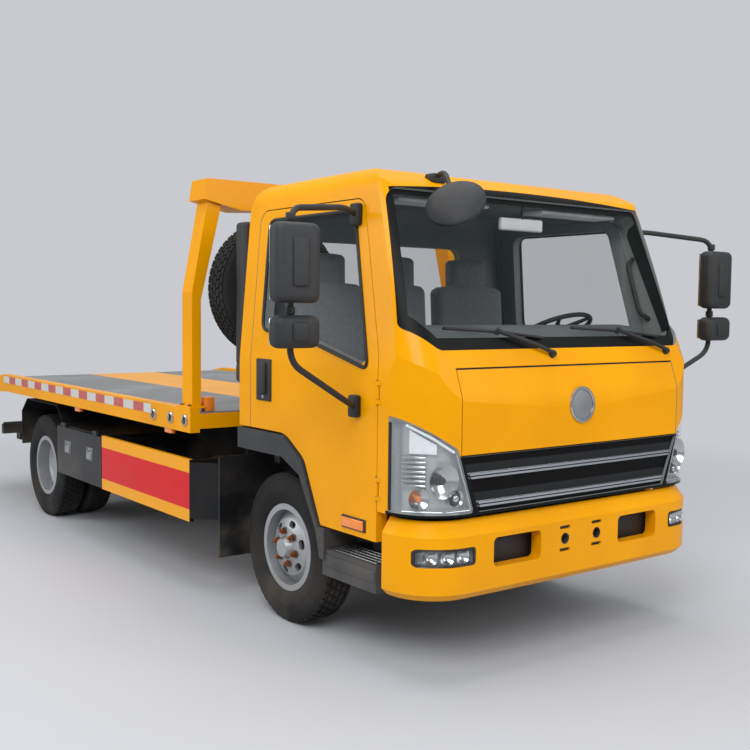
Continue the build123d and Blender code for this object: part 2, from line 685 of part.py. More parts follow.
@cache
def nose_volume(inset):
    """Give the form of the cab's nose, drawn in by a wall, with no floor and no back."""
    with BuildPart() as volume:
        with BuildSketch(Plane.XZ) as profile:
            with BuildLine():
                points = [
                    (CAB_FRONT, 300),
                    *SIDE_POINTS[1:3],
                    (SCREEN_FOOT[0] - 200, 1870),
                    (300, 1870),
                    (300, 300),
                ]
                FilletPolyline(
                    *[(ax(x), z) for x, z in points],
                    radius=[0, *SIDE_RADII[1:3], 0, 0, 0],
                    close=True,
                )
            make_face()
            offset(amount=-inset, kind=Kind.INTERSECTION, mode=Mode.REPLACE)
        extrude(profile.sketch, amount=CAB_HALF + 20, both=True)
        extrude(cab_plan(inset), amount=2000, mode=Mode.INTERSECT)
    return volume.part


def flap_layer(outer, inner, outline, grow, radius, x=NOSE_X):
    """Give a layer of the nose, between two depths, inside an outline seen from the front."""
    with BuildPart() as layer:
        add(nose_volume(outer))
        add(nose_volume(inner), mode=Mode.SUBTRACT)
        add(front_opening(outline, grow, x, radius), mode=Mode.INTERSECT)
    return layer.part


def mirrored(outline):
    """Give an outline of the left side on the right side."""
    return [(-y, z) for y, z in outline]


DOOR_AXIS = (ax(DOOR_FRONT) + GAP / 2, CAB_HALF)
FLAP_AXIS_X = ax(1122)
FLAP_AXIS_Z = FLAP_Z[1] - FLAP_THICK / 2

with BuildPart() as cab_front:
    add(cab_shell.part)
    block((ax(500), ax(1400)), (-1200, 1200), (300, roof_split_z), Mode.INTERSECT)
    block(*FLOOR_BOX, Mode.SUBTRACT)
    flap_pocket = [(y, z + (FLAP_TOP_GAP if z > 1200 else -2)) for y, z in FLAP_OUTLINE]
    pocket = flap_layer(0, FLAP_THICK + FLAP_ROOM, flap_pocket, GAP, 0)
    add(pocket, mode=Mode.SUBTRACT)
    add(flap_layer(0, 34, GRILLE_OUTLINE, 0, 0), mode=Mode.SUBTRACT)
    for outline in (LAMP_OUTLINE, mirrored(LAMP_OUTLINE)):
        add(flap_layer(0, LAMP_THICK, outline, 2, LAMP_RADII, LAMP_X), mode=Mode.SUBTRACT)
    for side in SIDES.values():
        # Pin for the flap, out of the pocket's side wall
        rod(
            (FLAP_AXIS_X, side * (FLAP_HALF - 20), FLAP_AXIS_Z),
            (FLAP_AXIS_X, side * (FLAP_HALF + 25), FLAP_AXIS_Z),
            FLAP_PIN_R,
        )
        for hinge_z in HINGE_HEIGHTS:
            hinge_x, hinge_y = DOOR_AXIS[0], side * DOOR_AXIS[1]
            low, high = hinge_z - HINGE_LENGTH / 2, hinge_z + HINGE_LENGTH / 2
            rod((hinge_x, hinge_y, low), (hinge_x, hinge_y, high), HINGE_RELIEF, Mode.SUBTRACT)
            rod((hinge_x, hinge_y, low - 20), (hinge_x, hinge_y, high + 20), HINGE_PIN_R)
            for lug in ((low - 20, low - 2), (high + 2, high + 20)):
                rod((hinge_x, hinge_y, lug[0]), (hinge_x, hinge_y, lug[1]), HINGE_R)
                block((hinge_x, hinge_x + 24), (hinge_y - side * 22, hinge_y + side * 4), lug)
keep(cab_front, "cab_front")

# Windscreen and rear window
with BuildPart() as screen_layer:
    add(cab_volume(GLASS[0]))
    add(cab_volume(GLASS[1]), mode=Mode.SUBTRACT)

with BuildPart() as windscreen:
    add(screen_layer.part)
    add(screen_prism(-FIT), mode=Mode.INTERSECT)
keep(windscreen, "windscreen")

with BuildPart() as rear_window:
    add(screen_layer.part)
    add(front_opening(REAR_WINDOW, -FIT, (-500, -100), 60 - FIT), mode=Mode.INTERSECT)
keep(rear_window, "rear_window")

with BuildPart() as front_flap:
    add(flap_layer(0, FLAP_THICK, FLAP_OUTLINE, 0, 0))
    for side in SIDES.values():
        rod(
            (FLAP_AXIS_X, side * (FLAP_HALF - 30), FLAP_AXIS_Z),
            (FLAP_AXIS_X, side * (FLAP_HALF + 25), FLAP_AXIS_Z),
            FLAP_PIN_R + FIT,
            Mode.SUBTRACT,
        )
keep(front_flap, "front_flap")

# Grille: a back plate with two long bars
GRILLE_BARS = [(755, 779), (880, 904)]
GRILLE_BAR_END = 14

def grille_half(z):
    """Give the half width of the grille at a height."""
    return GRILLE_HALF + (z - GRILLE_Z[0]) * (FLAP_HALF - GRILLE_HALF) / (GRILLE_Z[1] - GRILLE_Z[0])


with BuildPart() as grille:
    add(flap_layer(14, 34 - FIT, GRILLE_OUTLINE, -FIT, 0))
    for low, high in GRILLE_BARS:
        ends = [(grille_half(z) - GRILLE_BAR_END, z) for z in (low, high)]
        bar = [(-y, z) for y, z in ends] + [(y, z) for y, z in reversed(ends)]
        add(flap_layer(2, 16, bar, 0, 0))
keep(grille, "grille")

with BuildPart() as headlamps:
    for outline in (LAMP_OUTLINE, mirrored(LAMP_OUTLINE)):
        lamp_x = (LAMP_X[0] + FIT, LAMP_X[1])
        add(flap_layer(3, LAMP_THICK - FIT, outline, 2 - FIT, LAMP_RADII, lamp_x))
keep(headlamps, "headlamps")

def skin_y(z):
    """Give the half width of the cab's skin at a height above the belt."""
    return CAB_HALF - (z - BELT_Z) * (CAB_HALF - HEAD_HALF) / (CAB_ROOF_Z - BELT_Z)


# Doors, with their window glass
for name, side in SIDES.items():
    with BuildPart() as door:
        add(cab_outer)
        add(door_prism(DOOR_OUTLINE, 0), mode=Mode.INTERSECT)
        add(front_prism(CAB_WALL), mode=Mode.SUBTRACT)
        block((ax(-900), ax(1400)), (0, side * 1200), (300, 2400), Mode.INTERSECT)
        add(door_prism(DOOR_WINDOW, 0), mode=Mode.SUBTRACT)
        for hinge_z in HINGE_HEIGHTS:
            hinge_x, hinge_y = DOOR_AXIS[0], side * DOOR_AXIS[1]
            low, high = hinge_z - HINGE_LENGTH / 2, hinge_z + HINGE_LENGTH / 2
            rod((hinge_x, hinge_y, low - 25), (hinge_x, hinge_y, low), HINGE_RELIEF, Mode.SUBTRACT)
            rod((hinge_x, hinge_y, high), (hinge_x, hinge_y, high + 25), HINGE_RELIEF, Mode.SUBTRACT)
            rod((hinge_x, hinge_y, low + 2), (hinge_x, hinge_y, high - 2), HINGE_R)
            block((hinge_x - 22, hinge_x), (hinge_y - side * 20, hinge_y), (low + 2, high - 2))
            rod(
                (hinge_x, hinge_y, low - 25),
                (hinge_x, hinge_y, high + 25),
                HINGE_PIN_R + FIT,
                Mode.SUBTRACT,
            )
    keep(door, f"door_{name}")

    with BuildPart() as door_glass:
        add(front_prism(GLASS[0]))
        add(front_prism(GLASS[1]), mode=Mode.SUBTRACT)
        add(door_prism(DOOR_WINDOW, -FIT), mode=Mode.INTERSECT)
        block((ax(-900), ax(1400)), (0, side * 1200), (300, 2400), Mode.INTERSECT)
    keep(door_glass, f"door_glass_{name}")

    # Mirror heads on their bent tube
    MIRROR_X, MIRROR_Y = ax(880), side * 1400
    with BuildPart() as mirrors:
        feet = [(ax(640), skin_y(1970) + FIT, 2020), (ax(720), CAB_HALF + FIT, 1170)]
        route = [(feet[0][0], side * (feet[0][1] + 20), feet[0][2]), (ax(700), side * 1010, 2040)]
        route += [(MIRROR_X, MIRROR_Y, 2000), (MIRROR_X, MIRROR_Y, 1380), (ax(800), side * 1060, 1200)]
        route += [(feet[1][0], side * (feet[1][1] + 20), feet[1][2])]
        pipe(route, 13, 45)
        block((MIRROR_X - 10, MIRROR_X + 75), (MIRROR_Y - 105, MIRROR_Y + 105), (1620, 1940))
        block((MIRROR_X - 10, MIRROR_X + 75), (MIRROR_Y - 105, MIRROR_Y + 105), (1440, 1572))
        fillet(mirrors.edges().filter_by(Axis.X), 30)
        for foot_x, foot_y, foot_z in feet:
            block(
                (foot_x - 30, foot_x + 30),
                (side * foot_y, side * (foot_y + 34)),
                (foot_z - 50, foot_z + 50),
            )
    keep(mirrors, f"mirrors_{name}")

# Wipers parked on the foot of the windscreen
WIPERS = [("right", 60, -560), ("left", 610, -10)]
WIPER_HEIGHT = 14


def on_screen(up, y, out):
    """Give a point up the windscreen from its foot, at a place across, standing out from its skin."""
    x = ax(SCREEN_FOOT[0]) + SCREEN_UP[0] * up + SCREEN_UP[1] * out
    return (x, y, SCREEN_FOOT[1] + SCREEN_UP[1] * up - SCREEN_UP[0] * out)


with BuildPart() as wipers:
    for _, pivot_y, tip_y in WIPERS:
        rod(on_screen(16, pivot_y, FIT), on_screen(16, pivot_y, WIPER_HEIGHT + 10), 16)
        rod(on_screen(16, pivot_y, WIPER_HEIGHT), on_screen(90, tip_y, WIPER_HEIGHT), 9)
keep(wipers, "wipers")

# Round look-down mirror on the roof's front edge
ROUND_MIRROR = (ax(985), -657, 2087)
with BuildPart() as front_mirror:
    block((ax(700), ax(770)), (-560, -480), (2150, 2250))
    add(cab_volume(-FIT), mode=Mode.SUBTRACT)
    rod((ax(740), -520, 2236), (ax(962), -645, 2106), 11)
    rod(ROUND_MIRROR, (ROUND_MIRROR[0] - 45, ROUND_MIRROR[1], ROUND_MIRROR[2] + 22), 135)
keep(front_mirror, "front_mirror")

# Inside of the cab
HOOD = [(760, 1300), (738, 1440), (860, 1455), (960, 1390), (960, 1300)]
HOOD_Y = (330, 700)
HOOD_R = 15
with BuildPart() as dashboard:
    side_plate(
        [(ax(760), 1150), (ax(720), 1330), (ax(900), 1400), (ax(1030), 1390), (ax(1030), 1150)],
        (-800, 800),
        20,
    )
    # Hood over the instruments
    hood = [(ax(x), z) for x, z in HOOD]
    side_plate(hood, HOOD_Y, HOOD_R)
    # Console down to the engine tunnel
    block((ax(790), ax(960)), (-300, 300), (TUNNEL_TOP + CAB_WALL, 1200))
keep(dashboard, "dashboard")

SEATS = [("driver", 500, 260), ("middle", -40, 200), ("passenger", -520, 240)]
# Seat forms seen from the side
CUSHION = [(-210, 1045), (-210, 1290), (290, 1290), (290, 1045)]
CUSHION_R = 40
BACKREST = [(-225, 1260), (-90, 1260), (-132, 1720), (-228, 1720)]
BACKREST_R = 35
HEADREST = [(-222, 1690), (-142, 1690), (-150, 1900), (-235, 1900)]
HEADREST_HALF = 130
with BuildPart() as seats:
    for _, seat_y, half in SEATS:
        seat = (seat_y - half, seat_y + half)
        side_plate([(ax(x), z) for x, z in CUSHION], seat, CUSHION_R)
        side_plate([(ax(x), z) for x, z in BACKREST], seat, BACKREST_R)
        side_plate(
            [(ax(x), z) for x, z in HEADREST],
            (seat_y - HEADREST_HALF, seat_y + HEADREST_HALF),
            BACKREST_R,
        )
keep(seats, "seats")

WHEEL_CENTRE = Vector(ax(520), 520, 1490)
WHEEL_TILT = Vector(-0.45, 0, 0.9)
WHEEL_RING_R = 202
WHEEL_GRIP_R = 13
WHEEL_HUB_R = 60
SPOKE_WIDTH = 40
SPOKE_THICK = 18
COLUMN_LENGTH = 800
COLUMN_R = 32
with BuildPart() as steering_wheel:
    wheel_plane = Plane(origin=WHEEL_CENTRE, z_dir=WHEEL_TILT)
    with BuildSketch(wheel_plane.offset(-SPOKE_THICK / 2)) as spokes:
        Rectangle(2 * WHEEL_RING_R, SPOKE_WIDTH)
        with Locations((0, 0)):
            Circle(WHEEL_HUB_R)
    extrude(spokes.sketch, amount=SPOKE_THICK)
    with Locations(wheel_plane):
        Torus(WHEEL_RING_R, WHEEL_GRIP_R)
    rod(tuple(WHEEL_CENTRE), tuple(WHEEL_CENTRE - WHEEL_TILT * COLUMN_LENGTH), COLUMN_R)
    step_top = NOSE_BOTTOM_Z + CAB_WALL
    block((ax(700), ax(1000)), (450, 590), (600, step_top), Mode.SUBTRACT)
keep(steering_wheel, "steering_wheel")

# Arch mouldings and steps under the doors
with BuildPart() as step_arches:
    for side in SIDES.values():
        arch = [(-330, 975), (112, 975), (281, 872), (424, 575), (480, 575), (480, 430), (445, 430)]
        arch += [(408, 560), (262, 800), (105, 868), (-330, 868)]
        side_plate([(ax(x), z) for x, z in arch], (side * 760, side * (CAB_HALF + 12)))
        block((ax(455), ax(868)), (side * 700, side * CAB_HALF), (355, 480))
        block((ax(600), ax(700)), (side * 640, side * 760), (470, DOOR_BOTTOM_Z))
keep(step_arches, "step_arches")

# Side guards and their stays
GUARD_X = (ax(-2005), ax(-750))
GUARD_Z = (400, 750)
GUARD_Y = (1000, BED_HALF)
with BuildPart() as side_guards:
    for side in SIDES.values():
        block(GUARD_X, (side * GUARD_Y[0], side * GUARD_Y[1]), GUARD_Z)
        wing = [(GUARD_X[1], GUARD_Y[1]), (ax(-590), 890), (ax(-600), 872), (GUARD_X[1], GUARD_Y[0])]
        flat_plate([(x, side * y) for x, y in wing], (420, 735))
        for stay_x in (GUARD_X[0] + 40, GUARD_X[1] - 90):
            block((stay_x - 20, stay_x + 20), (side * RAIL_Y, side * GUARD_Y[0]), (690, 730))
keep(side_guards, "side_guards")

# Toolboxes, open on their outer side, and their doors
BOX_X = (ax(-2830), ax(-2012))
BOX_Y = (560, 1005)
BOX_WALL = 15
LID_Y = (BOX_Y[1] + GAP, BED_HALF)
LID_AXIS = (1017, 762)
with BuildPart() as toolboxes:
    for side in SIDES.values():
        block(BOX_X, (side * BOX_Y[0], side * BOX_Y[1]), GUARD_Z)
        inner_x = (BOX_X[0] + BOX_WALL, BOX_X[1] - BOX_WALL)
        inner_z = (GUARD_Z[0] + BOX_WALL, GUARD_Z[1] - BOX_WALL)
        block(inner_x, (side * (BOX_Y[0] + BOX_WALL), side * (BOX_Y[1] + 5)), inner_z, Mode.SUBTRACT)
        for stay_x in (BOX_X[0] + 120, BOX_X[1] - 120):
            block((stay_x - 30, stay_x + 30), (side * RAIL_Y, side * BOX_Y[0]), (620, 690))
            hinge_y = side * LID_AXIS[0]
            rod((stay_x - 50, hinge_y, LID_AXIS[1]), (stay_x + 50, hinge_y, LID_AXIS[1]), 4)
            for lug in both_sides(34, 50):
                block((stay_x + lug[0], stay_x + lug[1]), (side * 990, hinge_y), (745, LID_AXIS[1] + 5))
keep(toolboxes, "toolboxes")

for name, side in SIDES.items():
    with BuildPart() as toolbox_door:
        block((BOX_X[0] + 3, BOX_X[1] - 3), (side * LID_Y[0], side * LID_Y[1]), (GUARD_Z[0] + 3, 740))
        for stay_x in (BOX_X[0] + 120, BOX_X[1] - 120):
            hinge_y = side * LID_AXIS[0]
            block((stay_x - 32, stay_x + 32), (hinge_y - side * 3, hinge_y + side * 6), (738, LID_AXIS[1]))
            rod((stay_x - 32, hinge_y, LID_AXIS[1]), (stay_x + 32, hinge_y, LID_AXIS[1]), 8)
            rod(
                (stay_x - 40, hinge_y, LID_AXIS[1]),
                (stay_x + 40, hinge_y, LID_AXIS[1]),
                4 + FIT,
                Mode.SUBTRACT,
            )
    keep(toolbox_door, f"toolbox_door_{name}")

# Rear fenders, bent from sheet, and the flaps behind the front wheels
FENDER = [(-460, 500), (-460, 760), (-330, 868), (330, 868), (440, 760), (440, 700)]
with BuildPart() as mudguards:
    for side in SIDES.values():
        outer = [(REAR_AXLE_X + x, z) for x, z in FENDER]
        inner = [(REAR_AXLE_X + x * 0.985, z - (5 if z > 800 else 0)) for x, z in reversed(FENDER)]
        side_plate(outer + inner, (side * 530, side * 975))
        for stay_x in (-300, 300):
            block(
                (REAR_AXLE_X + stay_x - 20, REAR_AXLE_X + stay_x + 20),
                (side * RAIL_Y, side * 540),
                (690, 730),
            )
            block(
                (REAR_AXLE_X + stay_x - 20, REAR_AXLE_X + stay_x + 20),
                (side * 530, side * 545),
                (690, 865),
            )
        block((ax(-535), ax(-520)), (side * 560, side * 960), (235, 790))
        block((ax(-560), ax(-535)), (side * RAIL_Y, side * 700), (600, 660))
keep(mudguards, "mudguards")

# Spare wheel behind the cab on its carrier
SPARE = (ax(-560), -590, 1700)
SPARE_PIN_R = 30
with BuildPart() as spare_carrier:
    block((ax(-700), ax(-665)), (-700, -480), (RAIL_TOP, 1850))
    block((ax(-700), ax(-665)), (-700, -RAIL_Y + RAIL_FLANGE), (RAIL_TOP, RAIL_TOP + 60))
    rod((ax(-665), SPARE[1], SPARE[2]), (SPARE[0], SPARE[1], SPARE[2]), SPARE_PIN_R)
keep(spare_carrier, "spare_carrier")


def turned_along(centre, points, mode=Mode.ADD):
    """Revolve an outline about a wheel axis that runs along the truck."""
    plane = Plane(origin=centre, x_dir=(1, 0, 0), z_dir=(0, 1, 0))
    with BuildSketch(plane) as section:
        with BuildLine():
            Polyline(*points, close=True)
        make_face()
    revolve(section.sketch, axis=Axis(centre, (1, 0, 0)), mode=mode)


TYRE = [
    (-FLANGE_HALF + 8.3, RIM_R + FIT),
    (-FLANGE_HALF + 8.3, FLANGE_R + 2),
    (-TYRE_HALF, 262),
    (-TYRE_HALF, 318),
]
TYRE += [(-78, TYRE_R), (78, TYRE_R)]
TYRE += [
    (TYRE_HALF, 318),
    (TYRE_HALF, 262),
    (FLANGE_HALF - 8.3, FLANGE_R + 2),
    (FLANGE_HALF - 8.3, RIM_R + FIT),
]
BARREL = [
    (-FLANGE_HALF, BARREL_R),
    (-FLANGE_HALF, FLANGE_R),
    (-70, FLANGE_R),
    (-70, RIM_R),
    (70, RIM_R),
    (70, FLANGE_R),
]
BARREL += [(FLANGE_HALF, FLANGE_R), (FLANGE_HALF, BARREL_R)]
FRONT_DISC = [(14, 195), (14, BARREL_R), (56, 146), (72, 100), (80, 60), (110, 45), (110, 0), (76, 0)]
FRONT_DISC += [
    (76, STUB_R),
    (-18, STUB_R),
    (-18, 75),
    (55, 75),
    (55, 100),
    (40, 140),
    (-4, BARREL_R),
    (-4, 195),
]
DRUM = [(-18, 70), (-18, 160), (-105, 160), (-105, 148), (-28, 148), (-28, 70)]
OUTER_DISC = [(-10, 195), (-10, BARREL_R), (-80, 140), (-92, 118), (-92, 75), (20, 60), (20, 0), (-60, 0)]
OUTER_DISC += [
    (-60, REAR_STUB_R),
    (-112.5, REAR_STUB_R),
    (-112.5, 118),
    (-98, 140),
    (-28, BARREL_R),
    (-28, 195),
]
LUG_R = 14
HAND_HOLE = (52, 32)

with BuildPart() as spare_tyre:
    turned_along(SPARE, TYRE)
keep(spare_tyre, "spare_tyre")

with BuildPart() as spare_rim:
    turned_along(SPARE, BARREL)
    spare_disc = [
        (-10, 195),
        (-10, BARREL_R),
        (-70, 140),
        (-70, SPARE_PIN_R + FIT),
        (-88, SPARE_PIN_R + FIT),
    ]
    spare_disc += [(-88, 140), (-28, BARREL_R), (-28, 195)]
    turned_along(SPARE, spare_disc)
keep(spare_rim, "spare_rim")

# Rear bar with its lamps
REAR_BAR_X = (PIVOT_X - 80, PIVOT_X - 30)
with BuildPart() as rear_bar:
    block(REAR_BAR_X, (-960, 960), (520, 600))
    for side in SIDES.values():
        block((REAR_BAR_X[1], PIVOT_X + 60), (side * EAR_Y, side * (EAR_Y + EAR_THICK)), (520, 559.5))
keep(rear_bar, "rear_bar")

TAIL_LAMP_DEPTH = 45
TAIL_LAMP_Y = (560, 940)
TAIL_LAMP_Z = (515, 610)
TAIL_LAMP_R = 18
TAIL_LAMP_GROOVES = [684, 810]
TAIL_GROOVE = 6
with BuildPart() as tail_lamps:
    for side in SIDES.values():
        block(
            (REAR_BAR_X[0] - TAIL_LAMP_DEPTH, REAR_BAR_X[0]),
            (side * TAIL_LAMP_Y[0], side * TAIL_LAMP_Y[1]),
            TAIL_LAMP_Z,
        )
    fillet(tail_lamps.edges().filter_by(Axis.X), TAIL_LAMP_R)
    # Grooves that part the three lenses of each lamp
    for groove_y in TAIL_LAMP_GROOVES:
        for pair in both_sides(groove_y, groove_y + TAIL_GROOVE):
            block(
                (REAR_BAR_X[0] - TAIL_LAMP_DEPTH, REAR_BAR_X[0] - TAIL_LAMP_DEPTH + 8),
                pair,
                TAIL_LAMP_Z,
                Mode.SUBTRACT,
            )
keep(tail_lamps, "tail_lamps")

# Air intake behind the right corner of the cab
INTAKE_X = (ax(-455), ax(-345))
INTAKE_LEG_X = ax(-395)
INTAKE_LEG_Y = (-660, -600)
INTAKE_SHELF_Z = (1200, 1300)
INTAKE_TOP_Z = 2050
INTAKE_EDGE_R = 25
INTAKE_SLOTS = 6
INTAKE_SLOT_PITCH = 40
with BuildPart() as air_intake:
    duct = [(INTAKE_X[0], -905), (INTAKE_X[1], -905), (INTAKE_X[1], -770), (INTAKE_X[0], -770)]
    flat_plate(duct, (INTAKE_SHELF_Z[1], INTAKE_TOP_Z), INTAKE_EDGE_R)
    block(INTAKE_X, (-905, -600), INTAKE_SHELF_Z)
    block((INTAKE_X[0], INTAKE_LEG_X), INTAKE_LEG_Y, (RAIL_TOP, INTAKE_SHELF_Z[0]))
    block((INTAKE_X[0], INTAKE_LEG_X), (INTAKE_LEG_Y[0], -RAIL_Y + RAIL_FLANGE), (RAIL_TOP, RAIL_TOP + 40))
    # Slots of the mouth, on its outer side
    for place in range(INTAKE_SLOTS):
        slot_z = INTAKE_TOP_Z - 60 - place * INTAKE_SLOT_PITCH
        block((INTAKE_X[0] + 30, INTAKE_X[1] - 30), (-915, -880), (slot_z - 24, slot_z), Mode.SUBTRACT)
keep(air_intake, "air_intake")

# Knuckles, front wheels and rear twin wheels
for name, side in SIDES.items():
    pin = (ax(0), side * KINGPIN_Y)
    with BuildPart() as knuckle:
        rod((*pin, TYRE_R - 76), (*pin, TYRE_R + 76), KINGPIN_R)
        for ear in ((TYRE_R - 76, TYRE_R - BOSS_HALF - 2), (TYRE_R + BOSS_HALF + 2, TYRE_R + 76)):
            block((ax(-38), ax(38)), (side * (KINGPIN_Y - 38), side * 748), ear)
        block((ax(-45), ax(45)), (side * 732, side * 748), (TYRE_R - 76, TYRE_R + 76))
        hub_y = side * (FRONT_WHEEL_Y + 75)
        rod((ax(0), side * 740, TYRE_R), (ax(0), hub_y, TYRE_R), STUB_R - FIT)
    keep(knuckle, f"knuckle_{name}")

    centre = (ax(0), side * FRONT_WHEEL_Y, TYRE_R)
    with BuildPart() as front_tyre:
        turned(centre, side, TYRE)
    keep(front_tyre, f"front_tyre_{name}")

    with BuildPart() as front_rim:
        turned(centre, side, BARREL)
        turned(centre, side, FRONT_DISC)
        turned(centre, side, DRUM)
        face = Plane(origin=centre, x_dir=(1, 0, 0), z_dir=(0, side, 0))
        with BuildSketch(face) as hand_holes:
            with PolarLocations(123, LUG_COUNT, start_angle=15):
                SlotOverall(*HAND_HOLE, rotation=90)
        extrude(hand_holes.sketch, amount=90, mode=Mode.SUBTRACT)
        with BuildSketch(face.offset(66)) as lugs:
            with PolarLocations(82, LUG_COUNT, start_angle=45):
                Circle(LUG_R)
        extrude(lugs.sketch, amount=26)
    keep(front_rim, f"front_rim_{name}")

    outer = (REAR_AXLE_X, side * REAR_WHEEL_Y, TYRE_R)
    inner_shift = -TWIN_PITCH
    with BuildPart() as rear_tyres:
        turned(outer, side, TYRE)
        turned(outer, side, [(a + inner_shift, r) for a, r in TYRE])
    keep(rear_tyres, f"rear_tyres_{name}")

    with BuildPart() as rear_rims:
        turned(outer, side, BARREL)
        turned(outer, side, [(a + inner_shift, r) for a, r in BARREL])
        turned(outer, side, OUTER_DISC)
        inner_disc = [(-215, 195), (-215, BARREL_R), (-145, 140), (-133, 118), (-133, REAR_STUB_R)]
        inner_disc += [(-112.5, REAR_STUB_R), (-112.5, 118), (-127, 140), (-197, BARREL_R), (-197, 195)]
        turned(outer, side, inner_disc)
        face = Plane(origin=outer, x_dir=(1, 0, 0), z_dir=(0, side, 0)).offset(-98)
        with BuildSketch(face) as rear_lugs:
            with PolarLocations(96, LUG_COUNT):
                Circle(LUG_R)
        extrude(rear_lugs.sketch, amount=26)
    keep(rear_rims, f"rear_rims_{name}")

# Subframe that tilts the bed
SUB_Z = (RAIL_TOP, BED_BEAM_BOTTOM)
SUB_TUBES = [ax(-960), ax(-3350), ax(-3900)]
EYE_PIN_R = 12
with BuildPart() as subframe:
    for side in SIDES.values():
        sub_y = (side * SUB_Y[0], side * SUB_Y[1])
        rail = [
            (SUB_FRONT_X, SUB_Z[0]),
            (SUB_FRONT_X, SUB_Z[1]),
            (PIVOT_X + 30, SUB_Z[1]),
            (PIVOT_X + 30, SUB_Z[0]),
        ]
        side_plate(rail, sub_y)
        rod((PIVOT_X, sub_y[0], PIVOT_Z), (PIVOT_X, sub_y[1], PIVOT_Z), PIVOT_BOSS_R)
        rod((PIVOT_X, sub_y[0], PIVOT_Z), (PIVOT_X, sub_y[1], PIVOT_Z), PIVOT_PIN_R + FIT, Mode.SUBTRACT)
        # Ears and pin for the eye of the lift cylinder
        for ear in both_sides(38, 54):
            lug = (side * LIFT_Y + ear[0], side * LIFT_Y + ear[1])
            block((LIFT_EYE[0] - 25, LIFT_EYE[0] + 95), lug, (LIFT_EYE[1] - 25, LIFT_EYE[1] + 45))
        pin_y = (side * LIFT_Y - 54, side * LIFT_Y + 54)
        rod((LIFT_EYE[0], pin_y[0], LIFT_EYE[1]), (LIFT_EYE[0], pin_y[1], LIFT_EYE[1]), EYE_PIN_R)
    tube_x = LIFT_EYE[0] + 70
    block((tube_x, tube_x + 70), (-SUB_Y[0], SUB_Y[0]), (SUB_Z[0] + 20, SUB_Z[1] - 10))
    for tube_x in SUB_TUBES:
        block((tube_x - 30, tube_x + 30), (-SUB_Y[0], SUB_Y[0]), (SUB_Z[0] + 20, SUB_Z[1] - 10))
keep(subframe, "subframe")

# Lift cylinders
lift_x = LIFT_EYE[0] - LIFT_FOOT[0]
lift_z = LIFT_EYE[1] - LIFT_FOOT[1]
lift_length = hypot(lift_x, lift_z)
lift_dir = (lift_x / lift_length, lift_z / lift_length)


def along_lift(distance, side):
    """Give a point on a lift cylinder's axis."""
    return (LIFT_FOOT[0] + lift_dir[0] * distance, side * LIFT_Y, LIFT_FOOT[1] + lift_dir[1] * distance)


with BuildPart() as lift_barrels:
    for side in SIDES.values():
        rod(along_lift(0, side), along_lift(LIFT_BARREL_LENGTH, side), BARREL_TUBE_R)
        rod(along_lift(90, side), along_lift(LIFT_BARREL_LENGTH + 10, side), ROD_R + FIT, Mode.SUBTRACT)
        foot_y = (side * LIFT_Y - 32, side * LIFT_Y + 32)
        block(
            (LIFT_FOOT[0] - 80, LIFT_FOOT[0] + 40),
            (foot_y[0] - 40, foot_y[0]),
            (540, 720),
            Mode.SUBTRACT,
        )
        block(
            (LIFT_FOOT[0] - 80, LIFT_FOOT[0] + 40),
            (foot_y[1], foot_y[1] + 40),
            (540, 720),
            Mode.SUBTRACT,
        )
        rod((LIFT_FOOT[0], foot_y[0], LIFT_FOOT[1]), (LIFT_FOOT[0], foot_y[1], LIFT_FOOT[1]), 34)
        rod(
            (LIFT_FOOT[0], foot_y[0], LIFT_FOOT[1]),
            (LIFT_FOOT[0], foot_y[1], LIFT_FOOT[1]),
            14 + FIT,
            Mode.SUBTRACT,
        )
keep(lift_barrels, "lift_barrels")

EYE_BORE_R = 24
with BuildPart() as lift_rods:
    for side in SIDES.values():
        rod(along_lift(lift_length - LIFT_BARREL_LENGTH, side), along_lift(lift_length - 30, side), ROD_R)
        eye_y = (side * LIFT_Y - 30, side * LIFT_Y + 30)
        rod((LIFT_EYE[0], eye_y[0], LIFT_EYE[1]), (LIFT_EYE[0], eye_y[1], LIFT_EYE[1]), 36)
        rod(
            (LIFT_EYE[0], eye_y[0], LIFT_EYE[1]),
            (LIFT_EYE[0], eye_y[1], LIFT_EYE[1]),
            EYE_BORE_R,
            Mode.SUBTRACT,
        )
keep(lift_rods, "lift_rods")

# Bed: side rails, long beams and cross beams, with a sloped tail
RAIL_OUTLINE = [(BED_FRONT_X, BED_RAIL_BOTTOM), (BED_FRONT_X, DECK_Z), (TAIL_BREAK_X, DECK_Z)]
RAIL_OUTLINE += [(TAIL_X, TAIL_Z[1]), (TAIL_X, TAIL_Z[0]), (TAIL_BREAK_X + 100, BED_RAIL_BOTTOM)]
BEAM_OUTLINE = [(BED_FRONT_X, BED_BEAM_BOTTOM), (BED_FRONT_X, DECK_Z - 30), (TAIL_BREAK_X, DECK_Z - 30)]
BEAM_OUTLINE += [(TAIL_X + 100, 890), (TAIL_X + 100, 865), (TAIL_X + 200, BED_BEAM_BOTTOM)]
CROSS_BEAMS = 9
with BuildPart() as bed_frame:
    for side in SIDES.values():
        side_plate(RAIL_OUTLINE, (side * (BED_HALF - BED_RAIL_WALL), side * BED_HALF))
        side_plate(BEAM_OUTLINE, (side * BED_BEAM_Y[0], side * BED_BEAM_Y[1]))
    span = BED_HALF - BED_RAIL_WALL
    for place in range(CROSS_BEAMS):
        beam_x = BED_FRONT_X - 40 - place * (BED_FRONT_X - TAIL_BREAK_X - 80) / (CROSS_BEAMS - 1)
        block((beam_x - 40, beam_x + 40), (-span, span), (BED_RAIL_BOTTOM + 20, DECK_Z - 30))
    block((TAIL_X, TAIL_X + 100), (-span, span), (TAIL_Z[0], TAIL_Z[0] + 38))
keep(bed_frame, "bed_frame")

